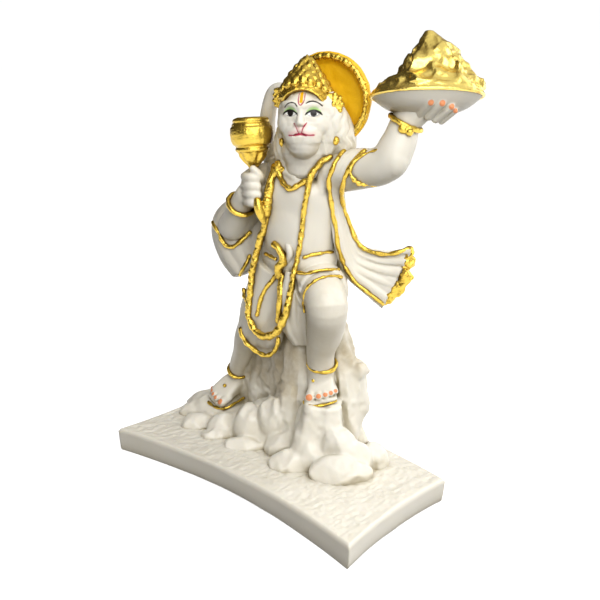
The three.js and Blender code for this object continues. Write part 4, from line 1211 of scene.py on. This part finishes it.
trims = {
    "clay": ((-40, -8, 0), (46, 36, 120), 0.32),
    # each with its half width
    "lines": {
        "collar": (1.0, [
            (-0.2, 4.6, 97.6), (1.9, 4.2, 94.8), (4, 3.8, 93.3), (5.9, 3.8, 92.5), (7.8, 4.6, 93.4),
            (9.8, 5.6, 94.8), (11.6, 6.4, 95.6),
        ]),
        "leftThigh": (0.6, [
            (21.2, 11.4, 65.1), (20.7, 8.5, 65.9), (20.4, 5.4, 66.4), (19.7, 3.4, 66.2), (18.3, 1.6, 65.3),
            (17.3, 0.5, 64.1), (16, -0.1, 62.2), (15.5, -0.2, 59.8), (13.4, 1.9, 56.4), (12.5, 3.2, 53.5),
        ]),
        "sleeve": (0.8, [
            (-31.9, 4.7, 76.5), (-29.2, 3.1, 75.4), (-27.2, 3.1, 73.4), (-26.1, 3.4, 71.2),
            (-24.7, 3.9, 69.5), (-22.6, 4.3, 69.1), (-20.8, 5, 70), (-18.8, 7.2, 72.4), (-17.7, 8.8, 74.4),
        ]),
        "drop": (0.7, [(-17.8, 8.8, 66.2), (-18, 7.4, 64), (-18.8, 6.4, 61.9), (-20.8, 6.5, 58.9)]),
        "hip": (0.8, [(-14.8, 2.7, 55.8), (-14.1, 2.1, 54), (-11.5, 0.6, 53)]),
        "knee": (0.9, [
            (-15.7, 1.5, 41.7), (-14.9, 1, 40.2), (-13.9, 1, 38.6), (-12, 1.2, 36.8), (-9.8, 2, 35.2),
            (-7.6, 2.6, 34.2), (-5.2, 3.2, 33.9), (-3, 3.6, 35), (-1.2, 3.8, 37), (0, 3.8, 39.4),
            (0.2, 3.8, 41.2),
        ]),
        "capeInner": (0.8, [
            (19.4, 14.1, 104.9), (19.1, 9.7, 101.2), (18.1, 8.6, 97.5), (17.1, 9.3, 94.9), (16.3, 11.4, 89.2),
            (16.1, 12.6, 84.3), (16.5, 13.7, 80), (16.6, 14.7, 74.2), (17.2, 16.1, 69.8), (17.9, 16.9, 66.7),
            (19.2, 17.9, 64.1), (20.9, 19, 61.5), (23.5, 20.5, 59.3), (26, 22.2, 57), (28.2, 23.6, 55.1),
        ]),
        "capeOuter": (0.8, [
            (27.1, 14.2, 105.2), (25.4, 11.5, 102.5), (23.5, 9.8, 98), (20.2, 11.9, 92.7), (17.9, 14.9, 89),
            (16.6, 18, 84.5), (17.2, 20, 80), (18.8, 20.7, 75.9), (20.9, 21.7, 73), (25.1, 23.2, 71.6),
            (29.1, 24.8, 71.4), (32.6, 26.4, 72.6), (34.6, 28.4, 73.4),
        ]),
        "armlet": (0.5, [
            (32.4, 13, 105.9), (29.1, 13.2, 104.8), (26.9, 12, 103.4), (25.3, 10.6, 101.5), (24.9, 10, 99.7),
            (25.3, 9.9, 97.9), (26.4, 10.9, 96.1), (28.4, 13.2, 95.2), (30.4, 15.6, 94.8),
        ]),
        "rightSole": (0.62, [
            (-38.3, 5, 5.7), (-35, 4.6, 5), (-32, 5, 5), (-29, 5.6, 5.8), (-28.2, 8.1, 6.6), (-28.2, 14, 7.4),
        ]),
        "leftSole": (0.6, [
            (11.6, 4, 21.6), (14.6, 2.2, 21.6), (16.8, 3.6, 21.6), (19.2, 6.2, 21.9), (20.6, 9.8, 22.6),
        ]),
        "beltRight": (0.6, [
            (10.4, 5.1, 70.7), (11.8, 6.6, 71.5), (13.1, 8.1, 71.9), (14.2, 10.6, 72.1), (14.7, 14.6, 71.6),
        ]),
        "beltLeft": (0.65, [(-4.9, 3.2, 69.9), (-1.8, 2.3, 69.8), (1.2, 2, 69.4)]),
        "beltLow": (0.6, [
            (9.8, 3, 66.2), (13.4, 3.3, 66.5), (15.3, 4.1, 67.2), (16.8, 5.7, 67.6), (18.7, 8.4, 67.7),
            (18.5, 13.1, 66.7),
        ]),
    },
    # thicker tails of the sash
    "wide": {
        "sashRight": (0.75, [
            (0.8, 2.1, 63.6), (-0.7, 1.9, 61.6), (-3.4, 1.3, 58.1), (-5.3, 0.8, 53.7), (-6.6, 0.6, 48.8),
        ]),
        "sashLeft": (1.15, [
            (3.5, 2.4, 64.2), (3.9, 1.4, 61.2), (4.3, 0.5, 57), (4, 0.4, 53), (3.4, 0.6, 48.8),
        ]),
        "leaf": (1.15, [(1, 1.2, 74.4), (2.8, 1.1, 73.7), (4.2, 1.4, 71.9), (5, 1.7, 69.4)]),
        "knot": (1.5, [(4.8, 1.7, 69.2), (3.4, 1.4, 67.5), (2.3, 1.9, 65.5), (2.4, 2.2, 63.8)]),
    },
    # bracelets and anklets: middle, the way the limb runs, radius, half thickness
    "rings": [
        ((37.4, 20, 113.5), (4.8, 2.8, 11.9), 5, 0.85), ((-15.4, 3, 85.2), (-8, 3.4, -9.2), 4.6, 0.85),
        ((13.4, 11.2, 33.4), (1.6, -1.4, 7.8), 4.6, 0.8), ((-32.2, 15.4, 17.6), (12, -5.8, 18.7), 3.8, 0.7),
    ],
    "pegs": [
        ((12.8, 7.6, 28.4), 0.9), ((-33.6, 9.4, 12.4), 0.8), ((26, 10.6, 96.6), 0.9), ((26.8, 11.8, 95.6), 1),
        ((28, 13, 95.2), 0.8), ((39.6, 15.6, 112.2), 1.4), ((41.4, 16.4, 111.4), 1.2),
    ],
    "earrings": [((18.4, 10.9, 107.7), (1.1, 1.1, 1.4)), ((2.4, 3.9, 106.7), (1, 1, 1.6))],
}


def brushed(count):  # paint that swells and thins along a line of so many points
    return lambda angle, share: 0.94 + 0.12 * np.sin(4.5 * count * share)


def twisted(angle, share):
    return 0.8 + 0.28 * np.abs(np.sin(5 * angle + 9 * share))


def crumpled(angle, share):
    ripples = 0.12 * np.sin(34 * share) + 0.14 * np.sin(3 * angle + 26 * share)
    return 0.94 + ripples + 0.1 * np.sin(5 * angle - 50 * share)


def makeTrims():
    clay = Clay(*trims["clay"])
    for radius, line in trims["lines"].values():
        clay.add(tube(line, radius, shape=brushed(len(line))), 0.2)
    for radius, line in trims["wide"].values():
        clay.add(tube(line, radius, 18, shape=twisted), 0.4)
    clay.add(limb(scarf["hem"], upright, around=30, perSpan=12, shape=crumpled), 0.3)
    for ring in trims["rings"]:
        clay.add(hoop(*ring, (0, 1, 0)), 0.2)
    for centre, radius in trims["pegs"]:
        clay.add(ball(centre, (radius,) * 3, around=16), 0.2)
    for centre, radii in trims["earrings"]:
        clay.add(ball(centre, radii, around=18), 0.2)
    clay.relief(lambda p: 0.17 * grit(p, 1.3, 71))
    finishPiece(clay.harden("goldTrim"), *goldFinish)


makeTrims()

# Camera, floor and light

view = {"azimuth": 42.2, "elevation": 17.28, "distance": 253.4, "target": (13.48, 0, 66.97), "lens": 48}
# lit from the ceiling and the right wall, dim and warm elsewhere; its backdrop is plain white
room = {
    "litSide": (0.88, 0.2, 0.43),
    "sideFade": (-0.15, 0.45),
    "dim": 0.07,
    "bright": 0.92,
    "tableFade": (-0.1, 0.45),
    "underTable": 0.12,
    "dimTint": "#E6CF9C",
    "brightTint": "#FCFCFF",
    "backdrop": 1.02,
    "floorGlow": 0.6,
}
# square panels of light: place, aim and size in mm, watts
lamps = {
    "soft box": ((214, -142, 246), (10, 0, 74), 260, 0.82),  # nearer to the slab's right end
    "back window": ((150, 330, 170), (0, 10, 70), 260, 0.5),
}


def placeCamera():
    a, e = math.radians(view["azimuth"]), math.radians(view["elevation"])
    away = Vector((math.sin(a) * math.cos(e), -math.cos(a) * math.cos(e), math.sin(e)))
    data = bpy.data.cameras.new("camera")
    data.lens = view["lens"]
    data.sensor_width = 36
    camera = bpy.data.objects.new("camera", data)
    camera.location = (Vector(view["target"]) + away * view["distance"]) * mm
    camera.rotation_euler = (-away).to_track_quat("-Z", "Y").to_euler()
    bpy.context.scene.collection.objects.link(camera)
    bpy.context.scene.camera = camera


def softRoom():
    world = bpy.data.worlds.new("soft room")
    bpy.context.scene.world = world
    world.use_nodes = True
    tree = world.node_tree
    tree.nodes.clear()
    place = addNode(tree, "TexCoord", out="Generated")
    side = addNode(tree, "VectorMath", {"operation": "DOT_PRODUCT", 1: room["litSide"]}, {0: place}, "Value")
    low, high = room["sideFade"]
    fade = {"From Min": low, "From Max": high, "To Min": room["dim"], "To Max": room["bright"]}
    level = addNode(tree, "MapRange", fade, {"Value": side})
    height = addNode(tree, "SeparateXYZ", {}, {0: place}, "Z")
    low, high = room["tableFade"]
    shade = {"From Min": low, "From Max": high, "To Min": room["underTable"]}
    table = addNode(tree, "MapRange", shade, {"Value": height})
    strength = addNode(tree, "Math", {"operation": "MULTIPLY"}, {0: level, 1: table})
    tints = {"data_type": "RGBA", 6: room["dimTint"], 7: room["brightTint"]}
    tint = addNode(tree, "Mix", tints, {0: strength}, 2)
    light = addNode(tree, "Background", {}, {"Color": tint, "Strength": strength})
    backdrop = addNode(tree, "Background", {"Color": "#FFFFFF", "Strength": room["backdrop"]})
    seen = addNode(tree, "LightPath", out="Is Camera Ray")
    mix = addNode(tree, "MixShader", links={0: seen, 1: light, 2: backdrop})
    addNode(tree, "OutputWorld", links={"Surface": mix})


def softBox(name, place, aim, size, watts):
    data = bpy.data.lights.new(name, "AREA")
    data.energy = watts
    data.size = size * mm
    lamp = bpy.data.objects.new(name, data)
    lamp.location = Vector(place) * mm
    lamp.visible_camera = False
    lamp.rotation_euler = (Vector(place) - Vector(aim)).to_track_quat("Z", "Y").to_euler()
    bpy.context.scene.collection.objects.link(lamp)


def placeStage():
    # the floor glows a little, as a light table does, so that it stays white away from the soft box
    floorMaterial, tree = newMaterial("pale floor")
    paper = {"Base Color": "#FBFBFA", "Roughness": 0.9}
    glow = {"Emission Color": "#FFFFFF", "Emission Strength": room["floorGlow"]}
    addNode(tree, "OutputMaterial", links={"Surface": addNode(tree, "BsdfPrincipled", paper | glow)})
    bpy.ops.mesh.primitive_plane_add(size=12, location=(0, 0, -0.0002))
    floor = bpy.context.object
    floor.name = "floor"
    floor.visible_diffuse = False  # a plain backdrop that throws no light back up
    floor.data.materials.append(floorMaterial)
    softRoom()
    for name, lamp in lamps.items():
        softBox(name, *lamp)
    print("floor and lights placed")


placeCamera()
placeStage()
bpy.context.scene.view_settings.view_transform = "Standard"
